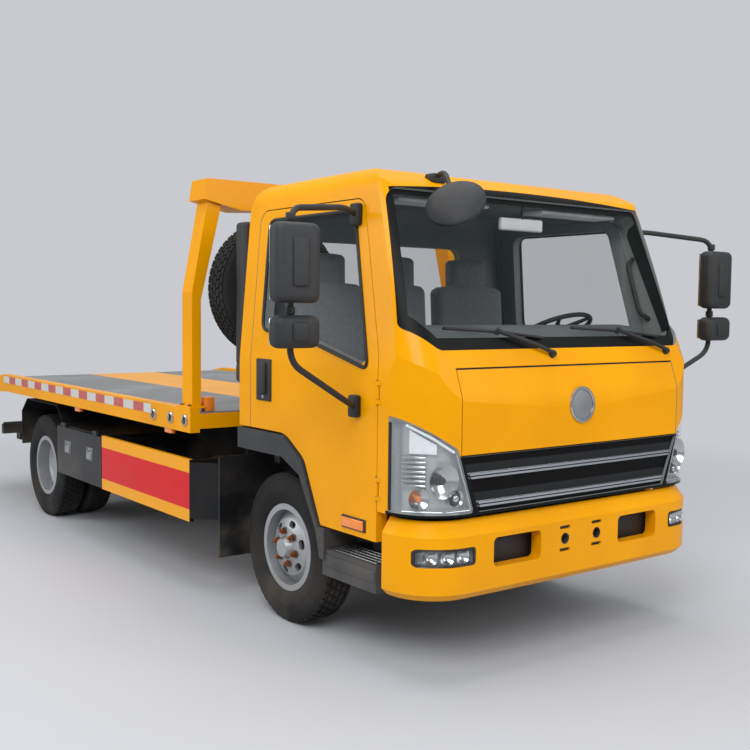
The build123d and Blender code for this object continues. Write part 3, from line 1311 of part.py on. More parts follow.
DECK_OUTLINE = [(BED_FRONT_X, DECK_Z - 30), (BED_FRONT_X, DECK_Z - 22), (TAIL_BREAK_X, DECK_Z - 22)]
DECK_OUTLINE += [(TAIL_X, TAIL_Z[1] - 10), (TAIL_X, TAIL_Z[1] - 17), (TAIL_BREAK_X, DECK_Z - 30)]
DECK_JOINT_X, DECK_JOINT = ax(-1157), 4
DECK_DROP = 22
with BuildPart() as deck_plates:
    side_plate(DECK_OUTLINE, (-span, span))
    # Joint between the plate under the winch and the plate behind it
    block(
        (DECK_JOINT_X - DECK_JOINT, DECK_JOINT_X),
        (-span, span),
        (BED_BEAM_BOTTOM, DECK_Z),
        Mode.SUBTRACT,
    )
keep(deck_plates, "deck_plates")

# Gantry over the front of the bed
with BuildPart() as gantry:
    for side in SIDES.values():
        post = [(POST_Y[0], DECK_Z), (POST_Y[0], POST_TOP_Z), (810, GANTRY_BEAM_Z + 40)]
        post += [(900, GANTRY_BEAM_Z + 40), (POST_Y[1], POST_TOP_Z + 40), (POST_Y[1], DECK_Z)]
        end_plate([(side * y, z) for y, z in post], POST_X)
        block((POST_X[0] - 20, POST_X[1] + 20), (side * 930, side * BED_HALF), (DECK_Z, DECK_Z + 12))
    beam = [
        (-935, GANTRY_BEAM_Z + 30),
        (-915, GANTRY_TOP_Z),
        (915, GANTRY_TOP_Z),
        (935, GANTRY_BEAM_Z + 30),
    ]
    beam += [(700, GANTRY_BEAM_Z - 20), (0, GANTRY_BEAM_Z + 20), (-700, GANTRY_BEAM_Z - 20)]
    end_plate(beam, (ax(-930), ax(-740)))
keep(gantry, "gantry")

# Winch at the front of the deck
WINCH_X = (ax(-1130), ax(-880))
WINCH_HALF = 300
WINCH_CHEEK = 230
WINCH_CHEEK_Y = (215, 235)
WINCH_CENTRE = (ax(-1005), 0, DECK_Z + 125)
# Gearbox, barrel between two flanges, and motor, by place across and radius
DRUM_OUTLINE = [(-300, 0), (-300, 70), (-285, 82), (-225, 82), (-225, 95), (-203, 95), (-203, 58)]
DRUM_OUTLINE += [(203, 58), (203, 95), (225, 95), (225, 66), (312, 66), (330, 50), (330, 0)]
with BuildPart() as winch:
    block(WINCH_X, (-WINCH_HALF, WINCH_HALF), (DECK_Z - DECK_DROP, DECK_Z))
    for pair in both_sides(*WINCH_CHEEK_Y):
        cheek = [(WINCH_X[0], DECK_Z), (WINCH_X[0], DECK_Z + 60), (ax(-1060), DECK_Z + WINCH_CHEEK)]
        cheek += [(ax(-950), DECK_Z + WINCH_CHEEK), (WINCH_X[1], DECK_Z + 60), (WINCH_X[1], DECK_Z)]
        side_plate(cheek, pair)
    turned(WINCH_CENTRE, 1, DRUM_OUTLINE)
keep(winch, "winch")

# Underlift stowed below the tail
UNDERLIFT_END_X = ax(-4760)
UNDERLIFT_Z = (410, 510)
UNDERLIFT_ARM_HALF = 700
UNDERLIFT_ARM = 100
SOCKET_Y = 640
SOCKET_R = 20
with BuildPart() as underlift:
    under_x, under_z = UNDERLIFT_PIVOT
    block((UNDERLIFT_END_X, under_x - 20), (-70, 70), UNDERLIFT_Z)
    rod((under_x, -UNDERLIFT_HALF, under_z), (under_x, UNDERLIFT_HALF, under_z), 40)
    rod(
        (under_x, -UNDERLIFT_HALF, under_z),
        (under_x, UNDERLIFT_HALF, under_z),
        UNDERLIFT_PIN_R + FIT,
        Mode.SUBTRACT,
    )
    block(
        (UNDERLIFT_END_X, UNDERLIFT_END_X + UNDERLIFT_ARM),
        (-UNDERLIFT_ARM_HALF, UNDERLIFT_ARM_HALF),
        UNDERLIFT_Z,
    )
    for side in SIDES.values():
        socket = (UNDERLIFT_END_X + UNDERLIFT_ARM / 2, side * SOCKET_Y)
        rod((*socket, UNDERLIFT_Z[0]), (*socket, UNDERLIFT_Z[1]), SOCKET_R, Mode.SUBTRACT)
keep(underlift, "underlift")
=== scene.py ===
"""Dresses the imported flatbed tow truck: finishes for its solids, and the small pieces that ride on them."""

from math import cos, exp, pi, radians, sin

import bmesh
import bpy
from mathutils import Matrix, Vector
from mathutils.bvhtree import BVHTree


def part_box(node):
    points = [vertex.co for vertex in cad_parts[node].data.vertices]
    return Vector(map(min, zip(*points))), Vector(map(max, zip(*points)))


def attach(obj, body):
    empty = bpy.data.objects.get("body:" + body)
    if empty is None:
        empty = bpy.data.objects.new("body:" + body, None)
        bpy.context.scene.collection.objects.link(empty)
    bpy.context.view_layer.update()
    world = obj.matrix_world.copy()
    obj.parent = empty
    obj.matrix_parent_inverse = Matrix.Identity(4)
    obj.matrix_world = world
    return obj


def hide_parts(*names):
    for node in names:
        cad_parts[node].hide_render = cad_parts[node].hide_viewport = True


bl_info = {
    "name": "Flatbed tow truck",
    "version": (1, 0, 0),
    "blender": (4, 5, 0),
    "location": "3D View > Sidebar > Tow truck",
    "description": "Finishes and small pieces of a light flatbed tow truck",
    "category": "Object",
}

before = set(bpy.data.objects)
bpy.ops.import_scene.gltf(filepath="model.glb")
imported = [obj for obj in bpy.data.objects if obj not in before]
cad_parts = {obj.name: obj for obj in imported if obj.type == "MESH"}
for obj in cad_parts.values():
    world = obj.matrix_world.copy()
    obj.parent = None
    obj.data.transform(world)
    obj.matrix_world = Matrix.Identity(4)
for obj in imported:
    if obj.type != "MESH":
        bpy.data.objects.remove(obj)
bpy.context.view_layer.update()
SIDES = {"right": -1, "left": 1}
FRONT_AXLE = 1.7975
WHEELBASE = 3.3
HUB_Z = 0.383
# The cab's half width up to the belt, its lean above that, and the windscreen's slope
CAB_HALF, BELT_Z, CAB_LEAN = 0.945, 1.33, 0.0846
SCREEN_FOOT_Z, SCREEN_SLOPE = 1.4, 0.4237
BED_HALF = 1.025
# Where lines that look for the truck's skin start, ahead of it or above it, and beside it
AHEAD, BESIDE = 4.0, 3.0


def ax(x):
    """Give the place of a point that lies x metres ahead of the front axle."""
    return FRONT_AXLE + x


def span(start, stop):
    """Give two places by how far they lie ahead of the front axle."""
    return ax(start), ax(stop)


def around(middle, half):
    """Give two limits at the same distance from a middle."""
    return middle - half, middle + half


def layer(face, side, low, high):
    """Give two heights over a face that looks to one side of the truck."""
    return face + side * low, face + side * high


def tint(text):
    """Turn a written colour into the linear colour that shaders use."""
    parts = [int(text[i : i + 2], 16) / 255 for i in (1, 3, 5)]
    return (*[c / 12.92 if c <= 0.04045 else ((c + 0.055) / 1.055) ** 2.4 for c in parts], 1.0)


# Shaders


class Value:
    """One socket of a shader, with arithmetic on it."""

    def __init__(self, shader, socket):
        self.shader = shader
        self.socket = socket

    def math(self, operation, first, second):
        return self.shader.node("ShaderNodeMath", {"operation": operation}, [first, second])

    def __add__(self, other):
        return self.math("ADD", self, other)

    __radd__ = __add__

    def __sub__(self, other):
        return self.math("SUBTRACT", self, other)

    def __rsub__(self, other):
        return self.math("SUBTRACT", other, self)

    def __mul__(self, other):
        return self.math("MULTIPLY", self, other)

    __rmul__ = __mul__

    def __abs__(self):
        return self.math("ABSOLUTE", self, 0.0)

    def __lt__(self, other):
        return self.math("LESS_THAN", self, other)

    def __gt__(self, other):
        return self.math("GREATER_THAN", self, other)

    def __and__(self, other):
        return self.math("MINIMUM", self, other)

    def __or__(self, other):
        return self.math("MAXIMUM", self, other)

    def __mod__(self, other):
        return self.math("FLOORED_MODULO", self, other)


class Shader:
    """A material's nodes, with the surface's place ready to use."""

    def __init__(self, name):
        self.material = bpy.data.materials.new(name)
        self.material.use_nodes = True
        self.tree = self.material.node_tree
        self.tree.nodes.clear()
        self.surface = self.tree.nodes.new("ShaderNodeBsdfPrincipled")
        output = self.tree.nodes.new("ShaderNodeOutputMaterial")
        self.tree.links.new(self.surface.outputs[0], output.inputs[0])
        self.place = self.node("ShaderNodeTexCoord", output="Object")
        self.normal = self.node("ShaderNodeTexCoord", output="Normal")
        self.x, self.y, self.z = self.split(self.place)

    def node(self, kind, settings=None, inputs=(), output=0):
        """Add a node with its settings and its inputs, and give one of its outputs."""
        made = self.tree.nodes.new(kind)
        for key, value in (settings or {}).items():
            setattr(made, key, value)
        for key, value in inputs.items() if isinstance(inputs, dict) else enumerate(inputs):
            self.plug(made.inputs[key], value)
        return Value(self, made.outputs[output])

    def plug(self, socket, value):
        if isinstance(value, Value):
            self.tree.links.new(value.socket, socket)
        else:
            socket.default_value = value

    def set(self, **sockets):
        """Set the surface's own sockets, with underscores for spaces in their names."""
        for key, value in sockets.items():
            self.plug(self.surface.inputs[key.replace("_", " ")], value)
        return self

    def split(self, vector):
        made = self.node("ShaderNodeSeparateXYZ", inputs=[vector])
        return [Value(self, made.socket.node.outputs[i]) for i in range(3)]

    def stretched(self, scale):
        return self.node("ShaderNodeMapping", inputs={"Vector": self.place, "Scale": scale})

    def noise(self, scale, detail=3.0, place=None):
        inputs = {"Vector": place or self.place, "Scale": scale, "Detail": detail}
        return self.node("ShaderNodeTexNoise", inputs=inputs)

    def waves(self, way, scale):
        inputs = {"Vector": self.place, "Scale": scale}
        return self.node("ShaderNodeTexWave", {"bands_direction": way}, inputs)

    def rise(self, value, low, high):
        """Go smoothly from 0 at one value to 1 at another."""
        inputs = {"Value": value, "From Min": low, "From Max": high}
        return self.node("ShaderNodeMapRange", {"interpolation_type": "SMOOTHSTEP"}, inputs)

    def mix(self, share, low, high):
        return self.node("ShaderNodeMix", {"data_type": "RGBA"}, {0: share, 6: low, 7: high}, 2)

    def facing(self, centre):
        """Give how much a face looks away from a point inside the object."""
        away = self.node("ShaderNodeVectorMath", {"operation": "SUBTRACT"}, [self.place, centre])
        return self.node("ShaderNodeVectorMath", {"operation": "DOT_PRODUCT"}, [away, self.normal], "Value")

    def bump(self, height, strength, distance=0.001):
        inputs = {"Strength": strength, "Distance": distance, "Height": height}
        return self.set(Normal=self.node("ShaderNodeBump", inputs=inputs))


DUST = tint("#8a8073")


def dusty(shader, colour, amount, top=0.95):
    """Lay road dust on a colour, more of it low down, and give its share too."""
    share = shader.rise(shader.z, top, 0.1) * shader.rise(shader.noise(3.1, 6.0), 0.35, 0.75) * amount
    return shader.mix(share, colour, DUST), share


def cab_black(shader):
    """Black parts of the cab's skin: beside and under the grille, and over the windscreen."""
    side = abs(shader.y)
    beside = (side < (shader.z - 0.735) * 0.327 + 0.662) & (shader.z < 0.982)
    low = (beside | (shader.z < 0.737)) & (shader.x > ax(0.93))
    arch = (shader.z > 2.08) & (shader.z < 2.172 - shader.y * shader.y * 0.05)
    return low | (arch & (shader.x > ax(0.70)) & (side < 0.84))


def paint(name, colour, rough, coat, dust, inner=None, centre=None):
    """Sprayed paint with slight unevenness and road dust; faces that look inwards can take trim instead."""
    shader = Shader(name)
    base = tint(colour)
    deep = (base[0] * 0.9, base[1] * 0.88, base[2] * 0.85, 1)
    tone = shader.mix(shader.rise(shader.noise(1.7), 0.3, 0.7), deep, base)
    tone, share = dusty(shader, tone, dust)
    roughness = shader.noise(9.0) * 0.08 + rough + share * 0.35
    shine = coat
    if inner:
        tone = shader.mix(cab_black(shader), tone, tint("#0d0d0e"))
        inside = shader.facing(centre) < 0.0
        depth = CAB_HALF - (shader.z - BELT_Z) * CAB_LEAN - abs(shader.y)
        slope = shader.x + (shader.z - SCREEN_FOOT_Z) * SCREEN_SLOPE
        frames = (shader.z > 1.34) & (shader.z < 2.08) & (slope < ax(1.09)) & (shader.x > ax(-0.25))
        bend = (slope - ax(0.919)) * (slope > ax(0.919))
        skin = bend * bend * 2.6 + 0.012
        inside = inside | (frames & (depth > skin))
        grain = shader.mix(shader.rise(shader.noise(160.0), 0.3, 0.7), tint(inner), tint("#7d8182"))
        pillars = (shader.x > ax(0.70)) & (shader.z > 1.38)
        tone = shader.mix(inside, tone, shader.mix(pillars, grain, tint("#8f9391")))
        roughness = inside * 0.35 + roughness
        shine = (1.0 - inside) * coat
    shader.set(Base_Color=tone, Roughness=roughness, Coat_Weight=shine)
    shader.set(Coat_Roughness=0.12, Specular_IOR_Level=0.09)
    return shader.bump(shader.noise(240.0, 1.0), 0.05)


def moulded(name, colour, rough=0.55, grain=420.0, dust=0.2):
    """Moulded plastic with a fine grain."""
    shader = Shader(name)
    base = tint(colour)
    light = tuple(c * 1.5 + 0.006 for c in base[:3]) + (1,)
    tone, share = dusty(shader, shader.mix(shader.rise(shader.noise(2.3), 0.35, 0.7), base, light), dust)
    shader.set(Base_Color=tone, Roughness=shader.noise(30.0) * 0.15 + rough + share * 0.2)
    return shader.bump(shader.noise(grain, 2.0), 0.35, 0.0006)


def metal(name, colour, rough, scratch=(3, 60, 60), dust=0.0, metallic=1.0):
    """Bare or plated metal with fine lines along it."""
    shader = Shader(name)
    lines = shader.noise(24.0, 4.0, shader.stretched(scratch))
    base = tint(colour)
    tone = shader.mix(lines, tuple(c * 0.82 for c in base[:3]) + (1,), base)
    share = 0.0
    if dust:
        tone, share = dusty(shader, tone, dust)
    shader.set(Base_Color=tone, Roughness=lines * 0.14 + rough + share * 0.5, Metallic=metallic)
    return shader.bump(lines, 0.06)


def rubber(name):
    """Dusty tyre rubber with a fine grain."""
    shader = Shader(name)
    tone = shader.mix(shader.rise(shader.noise(5.0, 6.0), 0.35, 0.75), tint("#121213"), tint("#1f1e1d"))
    tone, _ = dusty(shader, tone, 0.2, 0.5)
    shader.set(Base_Color=tone, Roughness=shader.noise(60.0) * 0.15 + 0.68, Specular_IOR_Level=0.3)
    return shader.bump(shader.noise(700.0, 2.0), 0.3, 0.0005)


def window(name, border=None):
    """Clear glass, with an opaque black border where a mask is given."""
    shader = Shader(name)
    film = shader.noise(1.6, 5.0)
    shade = shader.mix(film, tint("#26302f"), tint("#3a4543"))
    alpha = film * 0.05 + 0.08
    roughness = film * 0.03 + 0.02
    if border:
        edge = border(shader)
        roughness = edge * 0.45 + roughness
        shade = shader.mix(edge, shade, tint("#08090a"))
        alpha = alpha | edge
    shader.set(Base_Color=shade, Roughness=roughness, Alpha=alpha, Specular_IOR_Level=0.16)
    shader.material.surface_render_method = "BLENDED"
    return shader


def screen_border(shader):
    """Black print round the windscreen, with cut-off lower corners."""
    side = 0.923 - (shader.z - 1.552) * 0.113 - abs(shader.y)
    low = shader.z - 1.428
    corner = low - (abs(shader.y) - 0.80) * 1.01
    top = 2.137 - shader.z
    return (side < 0.045) | (low < 0.05) | (top < 0.032) | (corner < 0.07)


def lens(name, colour, alpha, flutes=0.0):
    """Lamp plastic, fluted along its height where asked."""
    shader = Shader(name)
    base = tint(colour)
    bright = tuple(min(c * 1.25 + 0.02, 1) for c in base[:3]) + (1,)
    tone = shader.mix(shader.noise(26.0), base, bright)
    shader.set(Base_Color=tone, Roughness=shader.noise(40.0) * 0.06 + 0.06, Alpha=alpha, Coat_Weight=0.7)
    if alpha < 1:
        shader.material.surface_render_method = "BLENDED"
    if flutes:
        shader.bump(shader.waves("Y", flutes), 0.4, 0.002)
    return shader


def cloth(name, colour):
    """Woven seat cloth."""
    shader = Shader(name)
    weave = shader.waves("Y", 260.0) * shader.waves("Z", 260.0)
    base = tint(colour)
    light = tuple(c * 1.5 for c in base[:3]) + (1,)
    tone = shader.mix(shader.rise(shader.noise(45.0, 6.0) * 0.6 + weave * 0.4, 0.25, 0.65), base, light)
    shader.set(Base_Color=tone, Roughness=shader.noise(90.0) * 0.1 + 0.8, Sheen_Weight=0.25)
    return shader.bump(weave, 0.4, 0.0008)


def deck_finish(name, grey, yellow):
    """Chequer plate: grey on both sides, yellow along the middle, with raised short bars."""
    shader = Shader(name)
    middle = 1.0 - shader.rise(abs(shader.y), 0.292, 0.296)
    worn = shader.rise(shader.noise(2.4, 8.0), 0.42, 0.72)
    tone = shader.mix(worn, tint(grey), tint("#84868a"))
    tone = shader.mix(middle, tone, tint(yellow))
    tone, share = dusty(shader, tone, 0.25, 2.0)
    checks = []
    for turn, shift in ((45, 0.0), (-45, 0.5)):
        inputs = {"Vector": shader.place, "Rotation": (0, 0, radians(turn)), "Scale": (34.0, 34.0, 34.0)}
        u, v, _ = shader.split(shader.node("ShaderNodeMapping", inputs=inputs))
        along = abs((u + shift) % 1.0 - 0.5)
        across = abs((v + shift) % 1.0 - 0.5)
        checks.append((1.0 - shader.rise(along, 0.3, 0.36)) * (1.0 - shader.rise(across, 0.07, 0.13)))
    raised = checks[0] | checks[1]
    shader.set(Base_Color=shader.mix(raised * 0.35, tone, tint("#a9abad")))
    shader.set(Roughness=shader.noise(14.0) * 0.12 + 0.42 - raised * 0.12 + share * 0.2)
    return shader.bump(raised, 0.9, 0.0022)


def bands(name, first, second, length, start):
    """Two colours in turn along the truck, with a fine reflecting net in the surface."""
    shader = Shader(name)
    second_band = ((shader.x - start) % length) > (length / 2)
    inputs = {"Vector": shader.place, "Scale": 190.0}
    net = shader.node("ShaderNodeTexVoronoi", {"feature": "DISTANCE_TO_EDGE"}, inputs)
    lines = 1.0 - shader.rise(net, 0.02, 0.08)
    tone = shader.mix(second_band, tint(first), tint(second))
    tone = shader.mix(lines * 0.35, tone, tint("#d9d6cf"))
    tone, _ = dusty(shader, tone, 0.15, 1.2)
    shader.set(Base_Color=tone, Roughness=lines * 0.2 + 0.3, Coat_Weight=0.3)
    return shader.bump(lines, 0.2, 0.0004)


FINISHES = {}


def finish(name):
    """Give a finish by name, made on its first use."""
    if name not in FINISHES:
        FINISHES[name] = RECIPES[name](name).material
    return FINISHES[name]


def colour_of(name):
    """Give a colour that the sidebar holds, as written text."""
    return getattr(bpy.context.scene.tow_truck_colours, name)


# Heights of the red band on the side guards and of the bright double bars on the grille
GUARD_BAND = (0.470, 0.676)
GRILLE_BARS = [(0.754, 0.780), (0.879, 0.905)]


def guard_finish(name):
    """Side guard paint: a red band along the middle, yellow above and below it."""
    shader = Shader(name)
    middle = (shader.z > GUARD_BAND[0]) & (shader.z < GUARD_BAND[1])
    tone = shader.mix(middle, tint(colour_of("body")), tint("#d0080f"))
    tone = shader.mix((shader.x > ax(-0.752)) | (abs(shader.y) < 0.998), tone, tint("#1a1b1d"))
    tone, share = dusty(shader, tone, 0.1)
    shader.set(Base_Color=tone, Roughness=shader.noise(9.0) * 0.08 + 0.28 + share * 0.3, Coat_Weight=0.1)
    shader.set(Specular_IOR_Level=0.14)
    return shader.bump(shader.noise(240.0, 1.0), 0.05)


def grille_finish(name):
    """Black grille with two bright double bars, each under a lighter grey band of painted light that stands
    in for the lit face of a sloped louvre slat.
    """
    shader = Shader(name)
    bars, painted_slat_light = 0.0, 0.0
    for low, high in GRILLE_BARS:
        line = abs(shader.z - (low + high) / 2) < 0.0025
        bars = ((shader.z > low) & (shader.z < high) & (1.0 - line)) | bars
        # Painted light: a lighter grey band (#232426) over each bar stands in for the lit face of a louvre
        # slat that isn't modelled.
        painted_slat_light = ((shader.z > high) & (shader.z < high + 0.038)) | painted_slat_light
    grain = shader.noise(420.0, 2.0)
    tone = shader.mix(painted_slat_light, tint("#030304"), tint("#232426"))
    tone = shader.mix(bars, tone, tint("#b4b8bb"))
    shader.set(Base_Color=tone, Roughness=0.5 - bars * 0.32 + shader.noise(30.0) * 0.1, Metallic=bars)
    shader.set(Specular_IOR_Level=0.12)
    return shader.bump(grain * (1.0 - bars), 0.2, 0.0006)


CAB_CENTRE = (ax(0.4), 0.0, 1.45)
RECIPES = {
    "yellow_paint": lambda n: paint(n, colour_of("body"), 0.24, 0.08, 0.05),
    "cab_paint": lambda n: paint(n, colour_of("body"), 0.24, 0.08, 0.05, colour_of("trim"), CAB_CENTRE),
    "black_paint": lambda n: paint(n, "#1a1b1d", 0.42, 0.15, 0.5),
    "box_paint": lambda n: paint(n, "#1d1e20", 0.35, 0.3, 0.3),
    "black_plastic": lambda n: moulded(n, "#1c1d1f"),
    "grey_plastic": lambda n: moulded(n, colour_of("trim"), 0.6, 500.0, 0.0),
    "dash_plastic": lambda n: moulded(n, "#54595a", 0.7, 500.0, 0.0),
    "arch_plastic": lambda n: moulded(n, "#2b2c2f", 0.6, 300.0, 0.35),
    "pale_plastic": lambda n: moulded(n, "#c9cacb", 0.45, 500.0, 0.1),
    "silver": lambda n: metal(n, "#b4b7ba", 0.32, (8, 8, 8), 0.25, 0.75),
    "chrome": lambda n: metal(n, "#c9ccce", 0.10),
    "satin_chrome": lambda n: metal(n, "#b7babd", 0.22),
    "steel": lambda n: metal(n, "#8b8e91", 0.35, (3, 60, 60), 0.2),
    "copper": lambda n: metal(n, "#a8683f", 0.36, (20, 20, 20), 0.2),
    "casting": lambda n: paint(n, "#2c2d2f", 0.6, 0.0, 0.6),
    "mirror_glass": lambda n: metal(n, "#cfd6d9", 0.03, (6, 6, 6)),
    "rubber": rubber,
    "clear_glass": window,
    "screen_glass": lambda n: window(n, screen_border),
    "lamp_clear": lambda n: lens(n, "#a9b2b6", 0.10),
    "lamp_housing": lambda n: metal(n, "#c6cacc", 0.24, (8, 8, 8), 0.0, 0.5),
    "lamp_amber": lambda n: lens(n, "#e07a12", 1.0, 60.0),
    "lamp_red": lambda n: lens(n, "#b3201a", 1.0, 60.0),
    "lamp_white": lambda n: lens(n, "#d7dcdf", 1.0, 60.0),
    "cloth": lambda n: cloth(n, "#74777b"),
    "deck": lambda n: deck_finish(n, colour_of("deck"), colour_of("body")),
    "tape": lambda n: bands(n, "#b8241e", "#c9c7c0", 0.30, ax(-4.2)),
    "rope": lambda n: metal(n, "#6d6e6c", 0.45, (60, 60, 60), 0.1),
    "seal": lambda n: moulded(n, "#0e0f10", 0.5, 600.0, 0.05),
    "guard_paint": guard_finish,
    "grille_finish": grille_finish,
}


# Pieces


class Piece:
    """A mesh in the making, which becomes one object that rides on a body."""

    def __init__(self, name):
        self.name = name
        self.mesh = bmesh.new()
        self.finishes = []

    def take(self, before, look):
        """Give a look to the faces that weren't there before."""
        if look not in self.finishes:
            self.finishes.append(look)
        self.mesh.faces.ensure_lookup_table()
        for face in self.mesh.faces:
            if face not in before:
                face.material_index = self.finishes.index(look)

    def slab(self, x, y, z, look, edge=0.004, segments=2):
        """Add a box between three pairs of limits, with its edges rounded."""
        before = set(self.mesh.faces)
        middle = Vector([(a + b) / 2 for a, b in (x, y, z)])
        verts = bmesh.ops.create_cube(self.mesh, size=1.0)["verts"]
        bmesh.ops.scale(self.mesh, vec=[abs(b - a) for a, b in (x, y, z)], verts=verts)
        edges = list({e for v in verts for e in v.link_edges})
        bmesh.ops.translate(self.mesh, vec=middle, verts=verts)
        if edge:
            self.round_edges(edges, edge, segments)
        self.take(before, look)

    def round_edges(self, edges, size, segments=2):
        bmesh.ops.bevel(
            self.mesh, geom=edges, offset=size, offset_type="OFFSET", affect="EDGES", segments=segments,
            profile=0.5, material=-1, clamp_overlap=True,
        )

    def bar(self, start, end, radius, look, sides=24, tip=None, edge=0.0):
        """Add a round bar, or a cone, from one point to another."""
        before = set(self.mesh.faces)
        line = Vector(end) - Vector(start)
        turn = line.to_track_quat("Z", "Y").to_matrix().to_4x4()
        place = Matrix.Translation((Vector(start) + Vector(end)) / 2) @ turn
        far = radius if tip is None else tip
        verts = bmesh.ops.create_cone(
            self.mesh, cap_ends=True, segments=sides, radius1=radius, radius2=far, depth=line.length,
            matrix=place,
        )["verts"]
        if edge:
            edges = {e for v in verts for e in v.link_edges}
            self.round_edges([e for e in edges if any(len(f.verts) > 4 for f in e.link_faces)], edge)
        self.take(before, look)

    def turned(self, outline, centre, axis, look, steps=64, side=None):
        """Spin an outline, given along and away from an axis, all the way round."""
        before = set(self.mesh.faces)
        axis = Vector(axis).normalized()
        away = Vector(side) if side else axis.orthogonal().normalized()
        verts = [self.mesh.verts.new(Vector(centre) + axis * a + away * r) for a, r in outline]
        edges = [self.mesh.edges.new(pair) for pair in zip(verts, verts[1:])]
        bmesh.ops.spin(
            self.mesh, geom=verts + edges, cent=centre, axis=axis, dvec=(0, 0, 0), angle=2 * pi, steps=steps,
            use_merge=True, use_duplicate=False,
        )
        self.take(before, look)

    def ring_copies(self, geom, centre, axis, count):
        """Repeat a shape evenly round an axis."""
        bmesh.ops.spin(
            self.mesh, geom=geom, cent=centre, axis=axis, dvec=(0, 0, 0), angle=2 * pi * (count - 1) / count,
            steps=count - 1, use_merge=False, use_duplicate=True,
        )

    def sheet(self, points, push, look, edge=0.0, segments=2):
        """Add a flat plate: an outline pushed out to a thickness, with rounded edges."""
        before = set(self.mesh.faces)
        face = self.mesh.faces.new([self.mesh.verts.new(p) for p in points])
        grown = bmesh.ops.extrude_face_region(self.mesh, geom=[face])["geom"]
        moved = [g for g in grown if isinstance(g, bmesh.types.BMVert)]
        bmesh.ops.translate(self.mesh, vec=push, verts=moved)
        if edge:
            self.round_edges(list({e for v in moved for e in v.link_edges}), edge, segments)
        self.take(before, look)

    def tube(self, points, radius, look, corner=0.04):
        """Add a round tube along a row of points, with its corners rounded."""
        before = set(self.mesh.faces)
        curve = bpy.data.curves.new(self.name + "_line", "CURVE")
        curve.dimensions = "3D"
        curve.bevel_depth = radius
        curve.bevel_resolution = 4
        curve.use_fill_caps = True
        spline = curve.splines.new("POLY")
        line = [Vector(p) for p in points]
        bent = [line[0]]
        for last, here, ahead in zip(line, line[1:], line[2:]):
            reach = min(corner, (here - last).length / 2.2, (ahead - here).length / 2.2)
            start = here + (last - here).normalized() * reach
            stop = here + (ahead - here).normalized() * reach
            bent += [start.lerp(here, t).lerp(here.lerp(stop, t), t) for t in (0, 0.2, 0.4, 0.6, 0.8, 1)]
        bent.append(line[-1])
        spline.points.add(len(bent) - 1)
        for point, place in zip(spline.points, bent):
            point.co = (*place, 1)
        carrier = bpy.data.objects.new(self.name + "_line", curve)
        mesh = bpy.data.meshes.new_from_object(carrier)
        self.mesh.from_mesh(mesh)
        bpy.data.objects.remove(carrier)
        bpy.data.curves.remove(curve)
        bpy.data.meshes.remove(mesh)
        self.take(before, look)

    def done(self, body, slot, *nodes, smooth=35, merge=True):
        """Make the object, let it ride on its body and stand for the nodes it replaces."""
        if merge:
            bmesh.ops.remove_doubles(self.mesh, verts=self.mesh.verts, dist=1e-5)
        bmesh.ops.recalc_face_normals(self.mesh, faces=self.mesh.faces)
        data = bpy.data.meshes.new(self.name)
        self.mesh.to_mesh(data)
        self.mesh.free()
        for look in self.finishes:
            data.materials.append(finish(look))
        data.shade_smooth()
        data.set_sharp_from_angle(angle=radians(smooth))
        piece = bpy.data.objects.new(self.name, data)
        bpy.context.scene.collection.objects.link(piece)
        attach(piece, body)
        if nodes:
            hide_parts(*nodes)
        return piece


NODE_LOOKS = {
    "cab_paint": ["cab_roof", "cab_back", "cab_front", "door_right", "door_left", "front_flap"],
    "yellow_paint": ["bumper", "bed_frame", "gantry"],
    "black_paint": [
        "chassis_frame", "front_axle", "rear_axle", "leaf_springs", "mudguards", "rear_bar", "subframe",
        "lift_barrels", "underlift", "drive_shaft", "cab_floor", "spare_carrier",
    ],
    "box_paint": ["toolboxes", "toolbox_door_right", "toolbox_door_left", "fuel_tank", "winch"],
    "deck": ["deck_plates"],
    "silver": ["front_rim_right", "front_rim_left", "rear_rims_right", "rear_rims_left", "spare_rim"],
    "black_plastic": [
        "wipers", "front_mirror", "mirrors_right", "mirrors_left", "air_intake", "steering_wheel",
    ],
    "arch_plastic": ["step_arches"],
    "grille_finish": ["grille"],
    "grey_plastic": ["dashboard"],
    "cloth": ["seats"],
    "rubber": ["front_tyre_right", "front_tyre_left", "rear_tyres_right", "rear_tyres_left", "spare_tyre"],
    "screen_glass": ["windscreen"],
    "clear_glass": ["rear_window", "door_glass_right", "door_glass_left"],
    "lamp_white": ["headlamps", "fog_lamps"],
    "lamp_red": ["tail_lamps"],
    "steel": ["lift_rods", "exhaust"],
    "casting": ["engine_block", "knuckle_right", "knuckle_left"],
    "guard_paint": ["side_guards"],
}


class TowTruckColours(bpy.types.PropertyGroup):
    """Colours that a user would change."""

    body: bpy.props.StringProperty(name="Body", description="Paint of the cab and bed", default="#eea100")
    trim: bpy.props.StringProperty(name="Trim", description="Inside trim of the cab", default="#888c8d")
    deck: bpy.props.StringProperty(name="Deck", description="Chequer plate of the deck", default="#6e7072")


class TowTruckSizes(bpy.types.PropertyGroup):
    """Sizes that a user would change."""

    tread_blocks: bpy.props.IntProperty(
        name="Tread blocks", description="Blocks round each tyre", default=52, min=24
    )
    lug_nut: bpy.props.FloatProperty(
        name="Lug nut", description="Radius of a wheel nut", default=0.0165, unit="LENGTH", min=0.008
    )


class TOWTRUCK_OT_finishes(bpy.types.Operator):
    """Give each solid of the truck its finish"""

    bl_idname = "towtruck.finishes"
    bl_label = "Finishes"

    def execute(self, context):
        for look, nodes in NODE_LOOKS.items():
            for node in nodes:
                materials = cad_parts[node].data.materials
                materials.clear()
                materials.append(finish(look))
        return {"FINISHED"}


TYRE_HALF_OUTLINE = [
    (0.066, 0.206), (0.071, 0.214), (0.077, 0.226), (0.0865, 0.244), (0.0935, 0.266), (0.0965, 0.285),
    (0.0975, 0.290), (0.0962, 0.294), (0.0955, 0.316), (0.0905, 0.340), (0.0890, 0.344), (0.0905, 0.347),
    (0.0850, 0.362), (0.0770, 0.372), (0.0700, 0.3745), (0.0, 0.3755),
]
